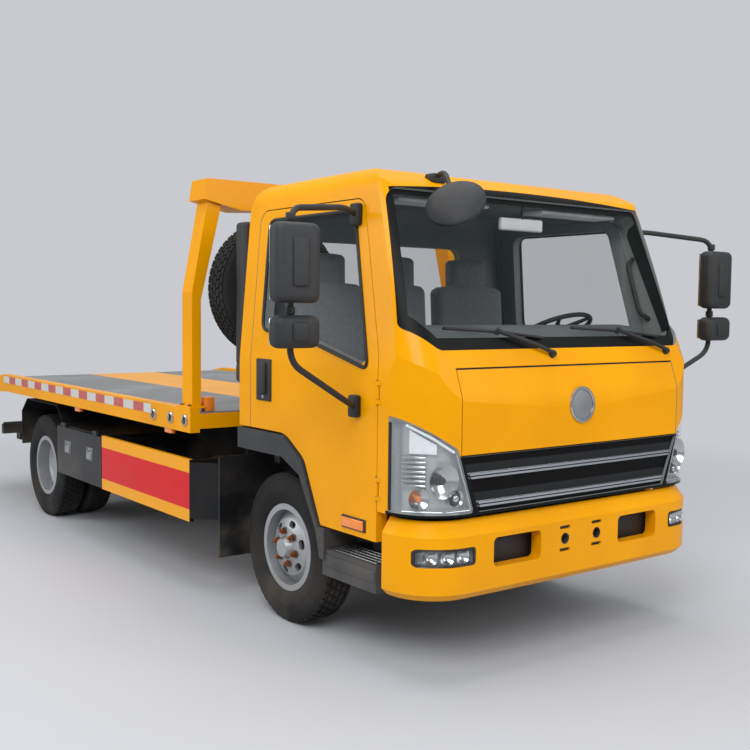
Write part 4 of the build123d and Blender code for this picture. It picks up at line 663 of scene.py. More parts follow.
# Place across the tread, width and shift along it, in pitches, of each row of blocks
TREAD_ROWS = [
    (-0.066, 0.022, 0.0), (-0.0335, 0.026, 0.5), (0.0, 0.026, 0.0), (0.0335, 0.026, 0.5), (0.066, 0.022, 0.0),
]
# The blocks' middle radius and height, how far they drop at the shoulder, and the tread's half width there
BLOCK_RADIUS, BLOCK_HEIGHT, SHOULDER_DROP, TREAD_HALF = 0.3765, 0.013, 0.004, 0.077
# The blocks' share of the pitch, and how far they lean along it
BLOCK_SHARE, BLOCK_SKEW = 0.8, 0.3
SPARE_PLACE = (ax(-0.56), -0.59, 1.70)
# Distance of the wheels' middles from the middle of the truck
WHEEL_PLACES = {"front": 0.780, "outer": 0.8625, "inner": 0.6375}


def add_tyre(piece, centre, axis, blocks):
    """Add one tyre with ridged side walls and a tread of skewed blocks."""
    outline = [(-a, r) for a, r in TYRE_HALF_OUTLINE[:-1]] + [(a, r) for a, r in reversed(TYRE_HALF_OUTLINE)]
    axis = Vector(axis)
    up = Vector((0, 0, 1))
    piece.turned(outline, centre, axis, "rubber", 96, up)
    ahead = axis.cross(up)
    pitch = 2 * pi / blocks
    for across, width, shift in TREAD_ROWS:
        before = set(piece.mesh.faces)
        verts = bmesh.ops.create_cube(piece.mesh, size=1.0)["verts"]
        length = pitch * HUB_Z * BLOCK_SHARE
        for vert in verts:
            a, t, r = vert.co
            skew = BLOCK_SKEW * a * (1 if across <= 0 else -1)
            turn = pitch * shift + (t + skew) * length / HUB_Z
            out = up * cos(turn) + ahead * sin(turn)
            drop = SHOULDER_DROP * (abs(across + a * width) / TREAD_HALF) ** 4
            radius = BLOCK_RADIUS + r * BLOCK_HEIGHT - drop
            vert.co = Vector(centre) + axis * (across + a * width) + out * radius
        faces = list({f for v in verts for f in v.link_faces})
        edges = list({e for v in verts for e in v.link_edges})
        piece.ring_copies(verts + edges + faces, centre, axis, blocks)
        piece.take(before, "rubber")


class TOWTRUCK_OT_tyres(bpy.types.Operator):
    """Build the tyres with their tread"""

    bl_idname = "towtruck.tyres"
    bl_label = "Tyres"

    def execute(self, context):
        blocks = context.scene.tow_truck_sizes.tread_blocks
        for name, side in SIDES.items():
            front = Piece(f"tyre_front_{name}")
            add_tyre(front, (ax(0), side * WHEEL_PLACES["front"], HUB_Z), (0, 1, 0), blocks)
            front.done(f"front_wheel_{name}", "tyre", f"front_tyre_{name}", merge=False)
            rear = Piece(f"tyres_rear_{name}")
            for key in ("outer", "inner"):
                add_tyre(rear, (ax(-WHEELBASE), side * WHEEL_PLACES[key], HUB_Z), (0, 1, 0), blocks)
            rear.done(f"rear_wheels_{name}", "tyre", f"rear_tyres_{name}", merge=False)
        spare = Piece("tyre_spare")
        add_tyre(spare, SPARE_PLACE, (1, 0, 0), blocks)
        spare.done("chassis", "tyre", "spare_tyre", merge=False)
        return {"FINISHED"}


TREES = {}


def hit(node, start, way):
    """Give the point where a line first meets a solid of the truck, and the face's normal there."""
    if node not in TREES:
        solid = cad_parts[node]
        places = [solid.matrix_world @ v.co for v in solid.data.vertices]
        TREES[node] = BVHTree.FromPolygons(places, [p.vertices for p in solid.data.polygons])
    place, normal, _, _ = TREES[node].ray_cast(Vector(start), Vector(way))
    if place is None:
        raise ValueError(f"no face of {node} lies ahead of {tuple(start)}")
    return place, normal if normal.dot(Vector(way)) < 0 else -normal


def front_hit(node, y, z):
    """Give the point and the normal where a line from ahead meets a solid."""
    return hit(node, (AHEAD, y, z), (-1, 0, 0))


def from_front(node, y, z, out=0.0):
    """Give a point over the front skin of a solid, standing out from it."""
    place, normal = front_hit(node, y, z)
    return place + normal * out


def front_line(node, side, points, out):
    """Give a row of points over the front skin of a solid, on one side of the truck."""
    return [from_front(node, side * y, z, out) for y, z in points]


def from_side(node, x, z, side, out=0.0):
    """Give a point over the side skin of a solid, standing out from it."""
    place, normal = hit(node, (ax(x), side * BESIDE, z), (0, -side, 0))
    return place + normal * out


def copy_faces(piece, node, outer, inner, centre):
    """Copy a solid's faces: those that look away from a point take one look, the rest another."""
    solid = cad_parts[node]
    for shown, look in ((True, outer), (False, inner)):
        before = set(piece.mesh.faces)
        for polygon in solid.data.polygons:
            place = solid.matrix_world @ polygon.center
            away = place - Vector((centre[0], 0, place.z))
            if (polygon.normal.dot(away.normalized()) > 0.45) == shown:
                corners = [solid.matrix_world @ solid.data.vertices[i].co for i in polygon.vertices]
                piece.mesh.faces.new([piece.mesh.verts.new(c) for c in corners])
        piece.take(before, look)


def bolts(piece, places, axis, radius, height):
    """Add hexagon heads at places, standing up along an axis."""
    for place in places:
        start = Vector(place)
        piece.bar(start, start + Vector(axis) * height, radius, "steel", 6, edge=0.0012)


NUT_COUNT = 6
# Body, place along and across the truck, radius of the ring of nuts, its seat and its first turn
NUT_ROWS = [
    ("front_wheel", ax(0), "front", 0.082, 0.0745, 45),
    ("rear_wheels", ax(-WHEELBASE), "outer", 0.096, -0.0925, 0),
]


class TOWTRUCK_OT_wheel_nuts(bpy.types.Operator):
    """Build the wheel nuts and tyre valves"""

    bl_idname = "towtruck.wheel_nuts"
    bl_label = "Wheel nuts"

    def execute(self, context):
        size = context.scene.tow_truck_sizes.lug_nut
        for name, side in SIDES.items():
            for body, x, place, ring, seat, start in NUT_ROWS:
                piece = Piece(f"nuts_{body}_{name}")
                y = side * WHEEL_PLACES[place] + side * seat
                for i in range(NUT_COUNT):
                    turn = radians(start + 360 * i / NUT_COUNT)
                    spot = Vector((x + ring * cos(turn), y, HUB_Z + ring * sin(turn)))
                    out = Vector((0, side, 0))
                    piece.bar(spot, spot + out * 0.004, size * 1.35, "steel", 24)
                    piece.bar(spot + out * 0.003, spot + out * 0.021, size, "copper", 6, edge=0.0015)
                    stud = size * 0.62
                    piece.bar(spot + out * 0.02, spot + out * 0.034, stud, "copper", 16, size * 0.5, 0.001)
                valve = Vector((x - 0.150, y - side * 0.02, HUB_Z))
                piece.bar(valve, valve + Vector((0.018, side * 0.035, 0)), 0.004, "steel", 12)
                piece.done(f"{body}_{name}", "steel")
        return {"FINISHED"}


CAB_AXIS = (ax(0.55), 0.0, 0.0)
# Reflectors: distance from the middle, height, radius and depth
MAIN_BOWL = (0.796, 0.876, 0.070, 0.028)
LOW_BOWL = (0.742, 0.800, 0.036, 0.020)
TURN_BOWL = (0.882, 0.800, 0.045, 0.022)
FOG_BOWLS = [(y, 0.553, 0.034, 0.024) for y in (0.715, 0.79, 0.855)]
RIB_HEIGHTS = [0.855, 0.875, 0.895, 0.915, 0.935, 0.955, 0.975]
# Lines on the lamps, by their distance from the middle and their height
LAMP_STRIP = [(0.920, 1.112), (0.840, 1.056), (0.757, 0.998)]
LAMP_MARKER = [(0.915, 0.99), (0.83, 0.99), (0.83, 1.03), (0.915, 1.09)]
LAMP_RIM = [(0.748, 0.990), (0.705, 0.862), (0.667, 0.745), (0.80, 0.743), (0.925, 0.743)]
FOG_FRAME = [
    (0.664, 0.523), (0.664, 0.583), (0.785, 0.588), (0.904, 0.583), (0.904, 0.523), (0.785, 0.518),
    (0.664, 0.523),
]


class TOWTRUCK_OT_lamps(bpy.types.Operator):
    """Build the headlamps and fog lamps behind their clear covers"""

    bl_idname = "towtruck.lamps"
    bl_label = "Lamps"

    def bowl(self, piece, node, side, shape):
        """Sink one bright reflector into a lamp, and give its back and the way it looks."""
        y, z, radius, depth = shape
        place, normal = front_hit(node, side * y, z)
        way = (normal + Vector((1.6, 0, 0))).normalized()
        centre = place - way * 0.012
        steps = [(-depth * (1 - (k / 5) ** 2), radius * k / 5) for k in range(6)]
        piece.turned(steps + [(0.002, radius * 1.06)], centre, way, "chrome", 40)
        return centre - way * depth, way

    def execute(self, context):
        lamps = Piece("headlamp_pair")
        copy_faces(lamps, "headlamps", "lamp_clear", "lamp_housing", CAB_AXIS)
        for side in SIDES.values():
            back, way = self.bowl(lamps, "headlamps", side, MAIN_BOWL)
            lamps.bar(back, back + way * 0.020, 0.020, "seal", 24, 0.015, 0.002)
            back, way = self.bowl(lamps, "headlamps", side, LOW_BOWL)
            lamps.bar(back, back + way * 0.022, 0.022, "seal", 28, edge=0.002)
            lamps.bar(back + way * 0.018, back + way * 0.026, 0.017, "mirror_glass", 28, 0.012, 0.003)
            back, way = self.bowl(lamps, "headlamps", side, TURN_BOWL)
            lamps.bar(back, back + way * 0.024, 0.015, "lamp_amber", 20, 0.011, 0.003)
            lamps.tube(front_line("headlamps", side, LAMP_STRIP, -0.011), 0.007, "lamp_white", 0.02)
            for z in RIB_HEIGHTS:
                rib = [(y, z) for y in (0.928, 0.905, 0.88, 0.868)]
                lamps.tube(front_line("headlamps", side, rib, -0.016), 0.007, "chrome", 0.02)
            marker = front_line("headlamps", side, LAMP_MARKER, -0.022)
            lamps.sheet(marker, (0.004, 0, 0), "lamp_white")
            lamps.tube(front_line("headlamps", side, LAMP_RIM, -0.004), 0.005, "chrome", 0.012)
            edge = [from_side("headlamps", 0.953, z, side, 0.001) for z in (0.742, 0.95, 1.12)]
            lamps.tube(edge, 0.007, "seal", 0.02)
        lamps.done("cab", "lamp", "headlamps", merge=False)

        fogs = Piece("fog_lamp_pair")
        copy_faces(fogs, "fog_lamps", "lamp_clear", "lamp_housing", CAB_AXIS)
        for side in SIDES.values():
            for shape in FOG_BOWLS:
                self.bowl(fogs, "fog_lamps", side, shape)
            fogs.tube(front_line("fog_lamps", side, FOG_FRAME, 0.002), 0.006, "seal", 0.012)
        fogs.done("chassis", "lamp", "fog_lamps", merge=False)
        return {"FINISHED"}


TOW_Y, TOW_Z = 0.108, 0.558
TOW_SLEEVE = [(-0.03, 0.026), (-0.03, 0.02), (0.001, 0.022), (0.002, 0.0255), (-0.03, 0.026)]
DISC_RING = [(-0.004, 0.068), (0.006, 0.069), (0.009, 0.073), (0.009, 0.079), (0.005, 0.084), (-0.004, 0.085)]
DISC_PLATE = [(-0.002, 0.070), (0.003, 0.066), (0.005, 0.03), (0.0055, 0.0)]


class TOWTRUCK_OT_front_trim(bpy.types.Operator):
    """Build the bumper's inserts and the plain disc on the front flap"""

    bl_idname = "towtruck.front_trim"
    bl_label = "Front trim"

    def execute(self, context):
        inserts = Piece("bumper_inserts")
        back = ax(1.139)
        inserts.slab((back - 0.012, back), (-0.17, 0.17), (0.475, 0.640), "seal")
        for side in SIDES.values():
            inserts.slab((back - 0.03, back - 0.014), (side * 0.245, side * 0.57), (0.480, 0.625), "seal")
            tow_y = side * TOW_Y
            for z in (0.506, 0.610):
                slot = from_front("bumper", tow_y + 0.045, z)
                x = (slot.x - 0.040, slot.x - 0.008)
                inserts.slab(x, around(tow_y, 0.031), around(z, 0.0065), "seal", 0.002)
            tow = from_front("bumper", tow_y + 0.034, TOW_Z)
            inserts.turned(TOW_SLEEVE, (tow.x, tow_y, TOW_Z), (1, 0, 0), "black_plastic", 32)
        inserts.done("chassis", "dark_plastic")

        disc = Piece("flap_disc")
        centre, normal = front_hit("front_flap", 0.01, 1.168)
        disc.turned(DISC_RING, centre, normal, "chrome", 64)
        disc.turned(DISC_PLATE, centre, normal, "satin_chrome", 64)
        disc.done("front_flap", "steel")
        return {"FINISHED"}


# Places across the truck of each wiper's pivot and of its blade's tip
WIPER_PLACES = [(-0.130, -0.74), (0.700, 0.06)]


class TOWTRUCK_OT_wipers(bpy.types.Operator):
    """Build the wipers parked on the windscreen"""

    bl_idname = "towtruck.wipers"
    bl_label = "Wipers"

    def execute(self, context):
        piece = Piece("wiper_pair")
        for pivot_y, tip_y in WIPER_PLACES:
            foot, normal = front_hit("cab_front", pivot_y, 1.400)
            piece.bar(foot - normal * 0.004, foot + normal * 0.022, 0.019, "black_plastic", 24, 0.015, 0.003)
            top = foot + normal * 0.020
            heel = from_front("windscreen", pivot_y - 0.02, 1.470, 0.014)
            tip = from_front("windscreen", tip_y, 1.515, 0.014)
            middle = from_front("windscreen", (pivot_y + tip_y) / 2, 1.498, 0.026)
            elbow = top.lerp(middle, 0.35) + normal * 0.010
            piece.tube([top, elbow, middle], 0.010, "seal", 0.03)
            piece.tube([heel, middle - normal * 0.010, tip], 0.007, "seal", 0.06)
            lip = [heel - normal * 0.008, middle - normal * 0.020, tip - normal * 0.008]
            piece.tube(lip, 0.0035, "rubber", 0.06)
            low = Vector((0, 0, -0.010))
            start = middle - normal * 0.014 + low
            piece.bar(start, middle + normal * 0.004 - low, 0.011, "black_plastic", 16)
        piece.done("cab", "dark_plastic", "wipers")
        return {"FINISHED"}


MIRROR_X, MIRROR_Y = ax(0.880), 1.400
MIRROR_HEADS = [(1.620, 1.940), (1.440, 1.572)]
MIRROR_CLIPS = [1.590, 1.965]
ROUND_BACK = [
    (0.002, 0.0), (0.0, 0.05), (-0.006, 0.09), (-0.018, 0.120), (-0.032, 0.1345), (-0.046, 0.135),
    (-0.049, 0.130),
]
ROUND_GLASS = [(-0.049, 0.131), (-0.046, 0.125), (-0.054, 0.06), (-0.057, 0.0)]


class TOWTRUCK_OT_mirrors(bpy.types.Operator):
    """Build the door mirrors on their tubes and the round mirror over the windscreen"""

    bl_idname = "towtruck.mirrors"
    bl_label = "Mirrors"

    def execute(self, context):
        for name, side in SIDES.items():
            piece = Piece(f"door_mirrors_{name}")
            high = from_side(f"door_{name}", 0.640, 2.020, side)
            low = from_side(f"door_{name}", 0.720, 1.170, side)
            route = [high + Vector((0, side * 0.02, 0)), (ax(0.700), side * 1.010, 2.040)]
            route += [(MIRROR_X, side * MIRROR_Y, 2.000), (MIRROR_X, side * MIRROR_Y, 1.380)]
            route += [(ax(0.800), side * 1.060, 1.200), low + Vector((0, side * 0.02, 0))]
            piece.tube(route, 0.0135, "black_plastic", 0.07)
            for foot in (high, low):
                y = layer(foot.y, side, -0.002, 0.036)
                piece.slab(around(foot.x, 0.03), y, around(foot.z, 0.05), "black_plastic", 0.012, 3)
            for bottom, top in MIRROR_HEADS:
                y = around(side * MIRROR_Y, 0.105)
                piece.slab((MIRROR_X - 0.012, MIRROR_X + 0.080), y, (bottom, top), "black_plastic", 0.034, 5)
                y = around(side * MIRROR_Y, 0.092)
                z = (bottom + 0.013, top - 0.013)
                piece.slab((MIRROR_X - 0.0145, MIRROR_X - 0.004), y, z, "mirror_glass", 0.004)
                y = around(side * MIRROR_Y, 0.038)
                z = around((bottom + top) / 2, (top - bottom) * 0.30)
                piece.slab((MIRROR_X + 0.060, MIRROR_X + 0.092), y, z, "black_plastic", 0.012, 3)
            for height in MIRROR_CLIPS:
                ends = [(MIRROR_X, side * MIRROR_Y, z) for z in around(height, 0.016)]
                piece.bar(*ends, 0.020, "black_plastic", 20, edge=0.003)
            piece.done(f"door_{name}", "dark_plastic", f"mirrors_{name}")

        round_mirror = Piece("round_mirror")
        way = Vector((0.38, -0.66, 0.65)).normalized()
        centre = Vector((ax(1.000), -0.637, 2.072)) + way * 0.022
        round_mirror.turned(ROUND_BACK, centre, way, "black_plastic", 64)
        round_mirror.turned(ROUND_GLASS, centre, way, "mirror_glass", 64)
        roof, _ = hit("cab_roof", (ax(0.735), -0.52, AHEAD), (0, 0, -1))
        x = (roof.x - 0.04, roof.x + 0.03)
        z = (roof.z - 0.012, roof.z + 0.034)
        round_mirror.slab(x, (-0.56, -0.48), z, "black_plastic", 0.012, 3)
        elbow = Vector((ax(0.830), -0.55, 2.222))
        grip = centre - way * 0.024
        grip = grip + (elbow - grip).normalized() * 0.115
        arm = [roof + Vector((0, 0, 0.02)), elbow, grip]
        round_mirror.tube(arm, 0.012, "black_plastic", 0.06)
        round_mirror.done("cab", "dark_plastic", "front_mirror")
        return {"FINISHED"}


DOOR_WINDOW = [(0.795, 1.335), (0.610, 2.040), (-0.120, 2.040), (-0.120, 1.490), (0.300, 1.450)]


def door_skin(z):
    """Give the half width of the door's skin at a height."""
    return CAB_HALF - max(0.0, z - BELT_Z) * CAB_LEAN


class TOWTRUCK_OT_door_trim(bpy.types.Operator):
    """Build the door handles, window seals and side markers"""

    bl_idname = "towtruck.door_trim"
    bl_label = "Door trim"

    def execute(self, context):
        for name, side in SIDES.items():
            piece = Piece(f"door_trim_{name}")
            skin = side * CAB_HALF
            cup = layer(skin, side, -0.006, 0.008)
            piece.slab(span(-0.150, -0.010), cup, (1.130, 1.342), "black_plastic", 0.006, 3)
            pull = layer(skin, side, 0.004, 0.024)
            piece.slab(span(-0.118, -0.046), pull, (1.165, 1.325), "black_plastic", 0.010, 3)
            lock = [(ax(-0.082), y, 1.150) for y in layer(skin, side, 0.0, 0.010)]
            piece.bar(*lock, 0.009, "satin_chrome", 20, edge=0.001)
            base = layer(skin, side, -0.004, 0.007)
            piece.slab(span(0.612, 0.792), base, (0.611, 0.669), "black_plastic", 0.004)
            lamp = layer(skin, side, 0.004, 0.014)
            piece.slab(span(0.622, 0.782), lamp, (0.618, 0.662), "lamp_amber", 0.004)
            corners = [Vector((ax(x), side * (door_skin(z) + 0.001), z)) for x, z in DOOR_WINDOW]
            start = corners[0].lerp(corners[1], 0.5)
            piece.tube([start, *corners[1:], corners[0], start], 0.009, "seal", 0.05)
            piece.done(f"door_{name}", "dark_plastic")
        return {"FINISHED"}


class TOWTRUCK_OT_steps(bpy.types.Operator):
    """Build the treads of the steps"""

    bl_idname = "towtruck.steps"
    bl_label = "Step treads"

    def execute(self, context):
        piece = Piece("step_treads")
        for side in SIDES.values():
            for row in range(5):
                y = side * (0.800 + row * 0.030)
                piece.slab(span(0.485, 0.850), around(y, 0.006), (0.478, 0.486), "satin_chrome", 0.002)
            for column in range(13):
                x = ax(0.490 + column * 0.0295)
                width = (side * 0.792, side * 0.928)
                piece.slab(around(x, 0.003), width, (0.478, 0.484), "steel", 0.001)
            face = (side * 0.943, side * 0.950)
            piece.slab(span(0.47, 0.862), face, (0.400, 0.455), "arch_plastic", 0.003)
        piece.done("cab", "dark_plastic")
        return {"FINISHED"}


RAIL_FITTINGS = [-1.206, -0.979, -0.800]
RAIL_RING = [(-0.002, 0.034), (0.008, 0.033), (0.011, 0.028), (0.010, 0.021), (-0.001, 0.019)]
POST_BOLTS = [(-0.870, -0.028), (-0.870, 0.044), (-0.780, -0.028), (-0.780, 0.044)]


class TOWTRUCK_OT_bed_trim(bpy.types.Operator):
    """Build the bed's marking tape, fittings and marker lamps"""

    bl_idname = "towtruck.bed_trim"
    bl_label = "Bed trim"

    def execute(self, context):
        piece = Piece("bed_trim")
        for side in SIDES.values():
            edge = side * BED_HALF
            tape = layer(edge, side, -0.001, 0.0012)
            piece.slab(span(-4.04, -1.25), tape, (0.968, 1.022), "tape", 0)
            for x in RAIL_FITTINGS:
                piece.turned(RAIL_RING, (ax(x), edge, 0.967), (0, side, 0), "chrome", 36)
                plug = [(ax(x), y, 0.967) for y in layer(edge, side, -0.004, 0.002)]
                piece.bar(*plug, 0.020, "seal", 24)
            for x in (-2.45, -1.03):
                lamp = layer(edge, side, -0.03, -0.004)
                piece.slab(span(*around(x, 0.045)), lamp, (0.872, 0.902), "lamp_amber", 0.004)
            places = [(ax(x), side * 0.9685 + side * y, 1.047) for x, y in POST_BOLTS]
            bolts(piece, places, (0, 0, 1), 0.012, 0.009)
        piece.slab(span(-0.805, -0.750), (-0.925, -0.865), (1.013, 1.095), "lamp_amber", 0.006)
        piece.done("bed", "red_lamp")
        return {"FINISHED"}


WINCH_CENTRE = (ax(-1.005), 0.0, 1.160)
# Place across the truck and radius of the ring of bolts on each end of the winch
WINCH_ENDS = {1: (0.330, 0.030), -1: (-0.300, 0.052)}
ROPE_TURNS, ROPE_WIDTH, ROPE_CORE, ROPE_RIDGE = 34, 0.405, 0.081, 0.0055


class TOWTRUCK_OT_winch(bpy.types.Operator):
    """Build the rope on the winch drum and the bolts of its base and ends"""

    bl_idname = "towtruck.winch"
    bl_label = "Winch"

    def execute(self, context):
        piece = Piece("winch_rope")
        steps = ROPE_TURNS * 4
        outline = []
        for i in range(steps + 1):
            along = -ROPE_WIDTH / 2 + ROPE_WIDTH * i / steps
            outline.append((along, ROPE_CORE + ROPE_RIDGE * abs(sin(pi * i / 4))))
        piece.turned(outline, WINCH_CENTRE, (0, 1, 0), "rope", 48)
        for side in SIDES.values():
            base = [(ax(x), side * 0.272, 1.0345) for x in (-1.105, -1.005, -0.905)]
            bolts(piece, base, (0, 0, 1), 0.012, 0.009)
            y, ring = WINCH_ENDS[side]
            x, _, z = WINCH_CENTRE
            turns = [pi / 4 * k for k in range(8)]
            spots = [(x + ring * cos(turn), y, z + ring * sin(turn)) for turn in turns]
            bolts(piece, spots, (0, side, 0), 0.007, 0.006)
        piece.done("bed", "steel")
        return {"FINISHED"}


TAIL_LENSES = [(0.572, 0.685, "lamp_white"), (0.690, 0.815, "lamp_red"), (0.820, 0.928, "lamp_amber")]
TANK_CAP = [(-0.024, 0.0435), (-0.004, 0.0435), (0.0, 0.040), (0.0, 0.030), (0.006, 0.028), (0.007, 0.0)]
BOX_FACE = 1.025


class TOWTRUCK_OT_rear_trim(bpy.types.Operator):
    """Build the tail lamps, the toolbox latches and the fuel tank's bolts and cap"""

    bl_idname = "towtruck.rear_trim"
    bl_label = "Rear trim"

    def execute(self, context):
        low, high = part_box("tail_lamps")
        lamps = Piece("tail_lamp_pair")
        for side in SIDES.values():
            width = (side * 0.560, side * 0.940)
            lamps.slab((high[0] - 0.032, high[0]), width, (low[2], high[2]), "black_plastic", 0.008)
            for start, stop, look in TAIL_LENSES:
                width = (side * start, side * stop)
                height = (low[2] + 0.012, high[2] - 0.012)
                lamps.slab((low[0], high[0] - 0.02), width, height, look, 0.007, 3)
        lamps.done("chassis", "red_lamp", "tail_lamps")

        for name, side in SIDES.items():
            latch = Piece(f"toolbox_latches_{name}")
            face = side * BOX_FACE
            for x in (-2.62, -2.22):
                plate = layer(face, side, -0.004, 0.004)
                latch.slab(span(*around(x, 0.055)), plate, (0.560, 0.650), "steel", 0.004)
                pull = layer(face, side, 0.002, 0.010)
                latch.slab(span(*around(x, 0.038)), pull, (0.572, 0.620), "satin_chrome", 0.004)
                lock = [(ax(x), y, 0.635) for y in layer(face, side, 0.0, 0.007)]
                latch.bar(*lock, 0.008, "chrome", 20, edge=0.001)
            latch.done(f"toolbox_door_{name}", "steel")

        tank = Piece("tank_fittings")
        low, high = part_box("fuel_tank")
        straps = (low[0] + 0.15, high[0] - 0.15)
        bolts(tank, [(x, 0.883, z) for x in straps for z in (0.52, 0.70)], (0, 1, 0), 0.010, 0.008)
        neck = (high[0] - 0.09, 0.760, high[2])
        tank.turned(TANK_CAP, neck, (0, 0, 1), "black_plastic", 40)
        tank.done("chassis", "black_paint")
        return {"FINISHED"}


# Place across the cab and half width of the driver's, the middle and the passenger's seat
SEATS = [(0.500, 0.250), (-0.040, 0.190), (-0.520, 0.230)]


def cushion(piece, x, y, z, look, lean=0.0, puff=0.018, seams=(0.5,)):
    """Add a stuffed block: rounded all over, fuller in the middle, drawn in along its seams."""
    before = set(piece.mesh.faces)
    verts = bmesh.ops.create_cube(piece.mesh, size=2.0)["verts"]
    edges = list({e for v in verts for e in v.link_edges})
    bmesh.ops.subdivide_edges(piece.mesh, edges=edges, cuts=13, use_grid_fill=True)
    verts = list({v for f in piece.mesh.faces if f not in before for v in f.verts})
    half = Vector([abs(b - a) / 2 for a, b in (x, y, z)])
    middle = Vector([(a + b) / 2 for a, b in (x, y, z)])
    radius = min(half) * 0.62
    core = half - Vector((radius, radius, radius))
    for vert in verts:
        unit = vert.co.copy()
        flat = Vector([u * h for u, h in zip(unit, half)])
        inner = Vector([max(-c, min(c, f)) for f, c in zip(flat, core)])
        reach = flat - inner
        place = inner + reach.normalized() * radius if reach.length else flat
        full = (1 - unit.x ** 2) * (1 - unit.y ** 2) + (1 - unit.y ** 2) * (1 - unit.z ** 2)
        groove = sum(exp(-(((abs(unit.y) - seam) / 0.05) ** 2)) for seam in seams)
        out = reach.normalized() if reach.length else Vector((0, 0, 0))
        vert.co = place + out * (puff * full - 0.007 * groove)
    bmesh.ops.rotate(piece.mesh, cent=(0, 0, -half.z), matrix=Matrix.Rotation(lean, 3, "Y"), verts=verts)
    bmesh.ops.translate(piece.mesh, vec=middle, verts=verts)
    piece.take(before, look)


class TOWTRUCK_OT_seats(bpy.types.Operator):
    """Build the stuffed seats on their plinths"""

    bl_idname = "towtruck.seats"
    bl_label = "Seats"

    def execute(self, context):
        pads = Piece("seat_pads")
        for y, half in SEATS:
            across = around(y, half)
            cushion(pads, span(-0.180, 0.280), across, (1.140, 1.285), "cloth")
            cushion(pads, span(-0.200, -0.085), across, (1.260, 1.725), "cloth", -0.07)
            head = around(y, 0.13)
            cushion(pads, span(-0.228, -0.146), head, (1.712, 1.885), "cloth", -0.03, 0.010, ())
        pads.done("cab", "seat_cloth", "seats", smooth=60)
        plinths = Piece("seat_plinths")
        for y, half in SEATS:
            across = (y - half + 0.03, y + half - 0.03)
            plinths.slab(span(-0.170, 0.250), across, (1.045, 1.160), "black_plastic", 0.012)
        plinths.done("cab", "dark_plastic")
        return {"FINISHED"}


WHEEL_CENTRE, COLUMN_WAY = (ax(0.520), 0.520, 1.490), (-0.45, 0, 0.9)
RIM_RADIUS, RIM_HALF, SPOKES = 0.2025, 0.0125, [20, 160, 235, 305]
WHEEL_BOSS = [(-0.02, 0.0), (-0.02, 0.055), (0.006, 0.062), (0.016, 0.05), (0.020, 0.0)]
GAUGE = [(0.0, 0.0), (0.0, 0.040), (0.006, 0.043), (0.006, 0.046), (-0.004, 0.047)]
DASH_PAD = [(0.772, 1.335), (0.762, 1.505), (0.792, 1.530), (0.900, 1.520), (1.020, 1.450), (1.030, 1.385)]
PILLAR_GRIP = [(0.880, 0.868, 1.560), (0.862, 0.806, 1.590), (0.790, 0.786, 1.850), (0.780, 0.842, 1.880)]


class TOWTRUCK_OT_dash(bpy.types.Operator):
    """Build the steering wheel, the dashboard's top and fittings, the visors, grips and inside mirror"""

    bl_idname = "towtruck.dash"
    bl_label = "Dashboard"

    def execute(self, context):
        wheel = Piece("wheel_and_column")
        column = Vector(COLUMN_WAY)
        axis = column.normalized()
        centre = Vector(WHEEL_CENTRE)
        turns = [2 * pi * k / 12 for k in range(13)]
        ring = [(RIM_HALF * sin(turn), RIM_RADIUS + RIM_HALF * cos(turn)) for turn in turns]
        wheel.turned(ring, centre, axis, "black_plastic", 72)
        wheel.turned(WHEEL_BOSS, centre, axis, "black_plastic", 40)
        side_way = Vector((0, 1, 0))
        up_way = axis.cross(side_way)
        for angle in SPOKES:
            way = side_way * cos(radians(angle)) + up_way * sin(radians(angle))
            start = centre + way * 0.045 - axis * 0.004
            wheel.bar(start, centre + way * 0.196, 0.013, "black_plastic", 12, 0.009)
        wheel.bar(centre - column * 0.780, centre - axis * 0.015, 0.032, "black_plastic", 28)
        wheel.bar(centre - axis * 0.16, centre - axis * 0.03, 0.058, "grey_plastic", 28, 0.05, 0.006)
        for way in (1, -1):
            stalk = centre - axis * 0.05
            wheel.bar(stalk, stalk + Vector((0.02, way * 0.17, 0.01)), 0.007, "black_plastic", 12)
        wheel.done("cab", "dark_plastic", "steering_wheel")

        dash = Piece("dash_fittings")
        dash.sheet([(ax(x), -0.72, z) for x, z in DASH_PAD], (0, 1.44, 0), "dash_plastic", 0.010, 3)
        dash.slab(span(0.730, 0.742), (0.360, 0.680), (1.362, 1.425), "seal", 0.006)
        for y in (0.440, 0.600):
            dash.turned(GAUGE, (ax(0.729), y, 1.393), (-1, 0, 0), "satin_chrome", 32)
        face = ax(0.742)
        dash.slab((face - 0.012, face + 0.03), (-0.19, 0.19), (1.175, 1.325), "black_plastic", 0.008)
        dash.slab((face - 0.018, face), (-0.16, 0.16), (1.262, 1.312), "seal", 0.004)
        for y in (-0.12, 0.0, 0.12):
            knob = [(x, y, 1.215) for x in (face - 0.010, face - 0.034)]
            dash.bar(*knob, 0.022, "black_plastic", 28, 0.019, 0.003)
        for y in (-0.74, -0.30, 0.27, 0.765):
            dash.slab(span(0.722, 0.760), around(y, 0.035), (1.285, 1.335), "black_plastic", 0.006)
            for k in range(3):
                slat = (1.294 + k * 0.014, 1.298 + k * 0.014)
                dash.slab(span(0.717, 0.724), around(y, 0.028), slat, "seal", 0.001)
        dash.slab(span(0.741, 0.752), (-0.66, -0.36), (1.180, 1.272), "grey_plastic", 0.006)
        for side in SIDES.values():
            visor = (side * 0.18, side * 0.74)
            dash.slab(span(0.590, 0.735), visor, (2.085, 2.105), "pale_plastic", 0.008)
            dash.tube([(ax(x), side * y, z) for x, y, z in PILLAR_GRIP], 0.012, "black_plastic", 0.03)
        dash.slab(span(0.715, 0.742), (-0.105, 0.185), (1.990, 2.052), "pale_plastic", 0.010, 3)
        dash.bar((ax(0.735), 0.04, 2.045), (ax(0.745), 0.04, 2.150), 0.007, "black_plastic", 12)
        dash.done("cab", "dark_plastic")
        return {"FINISHED"}


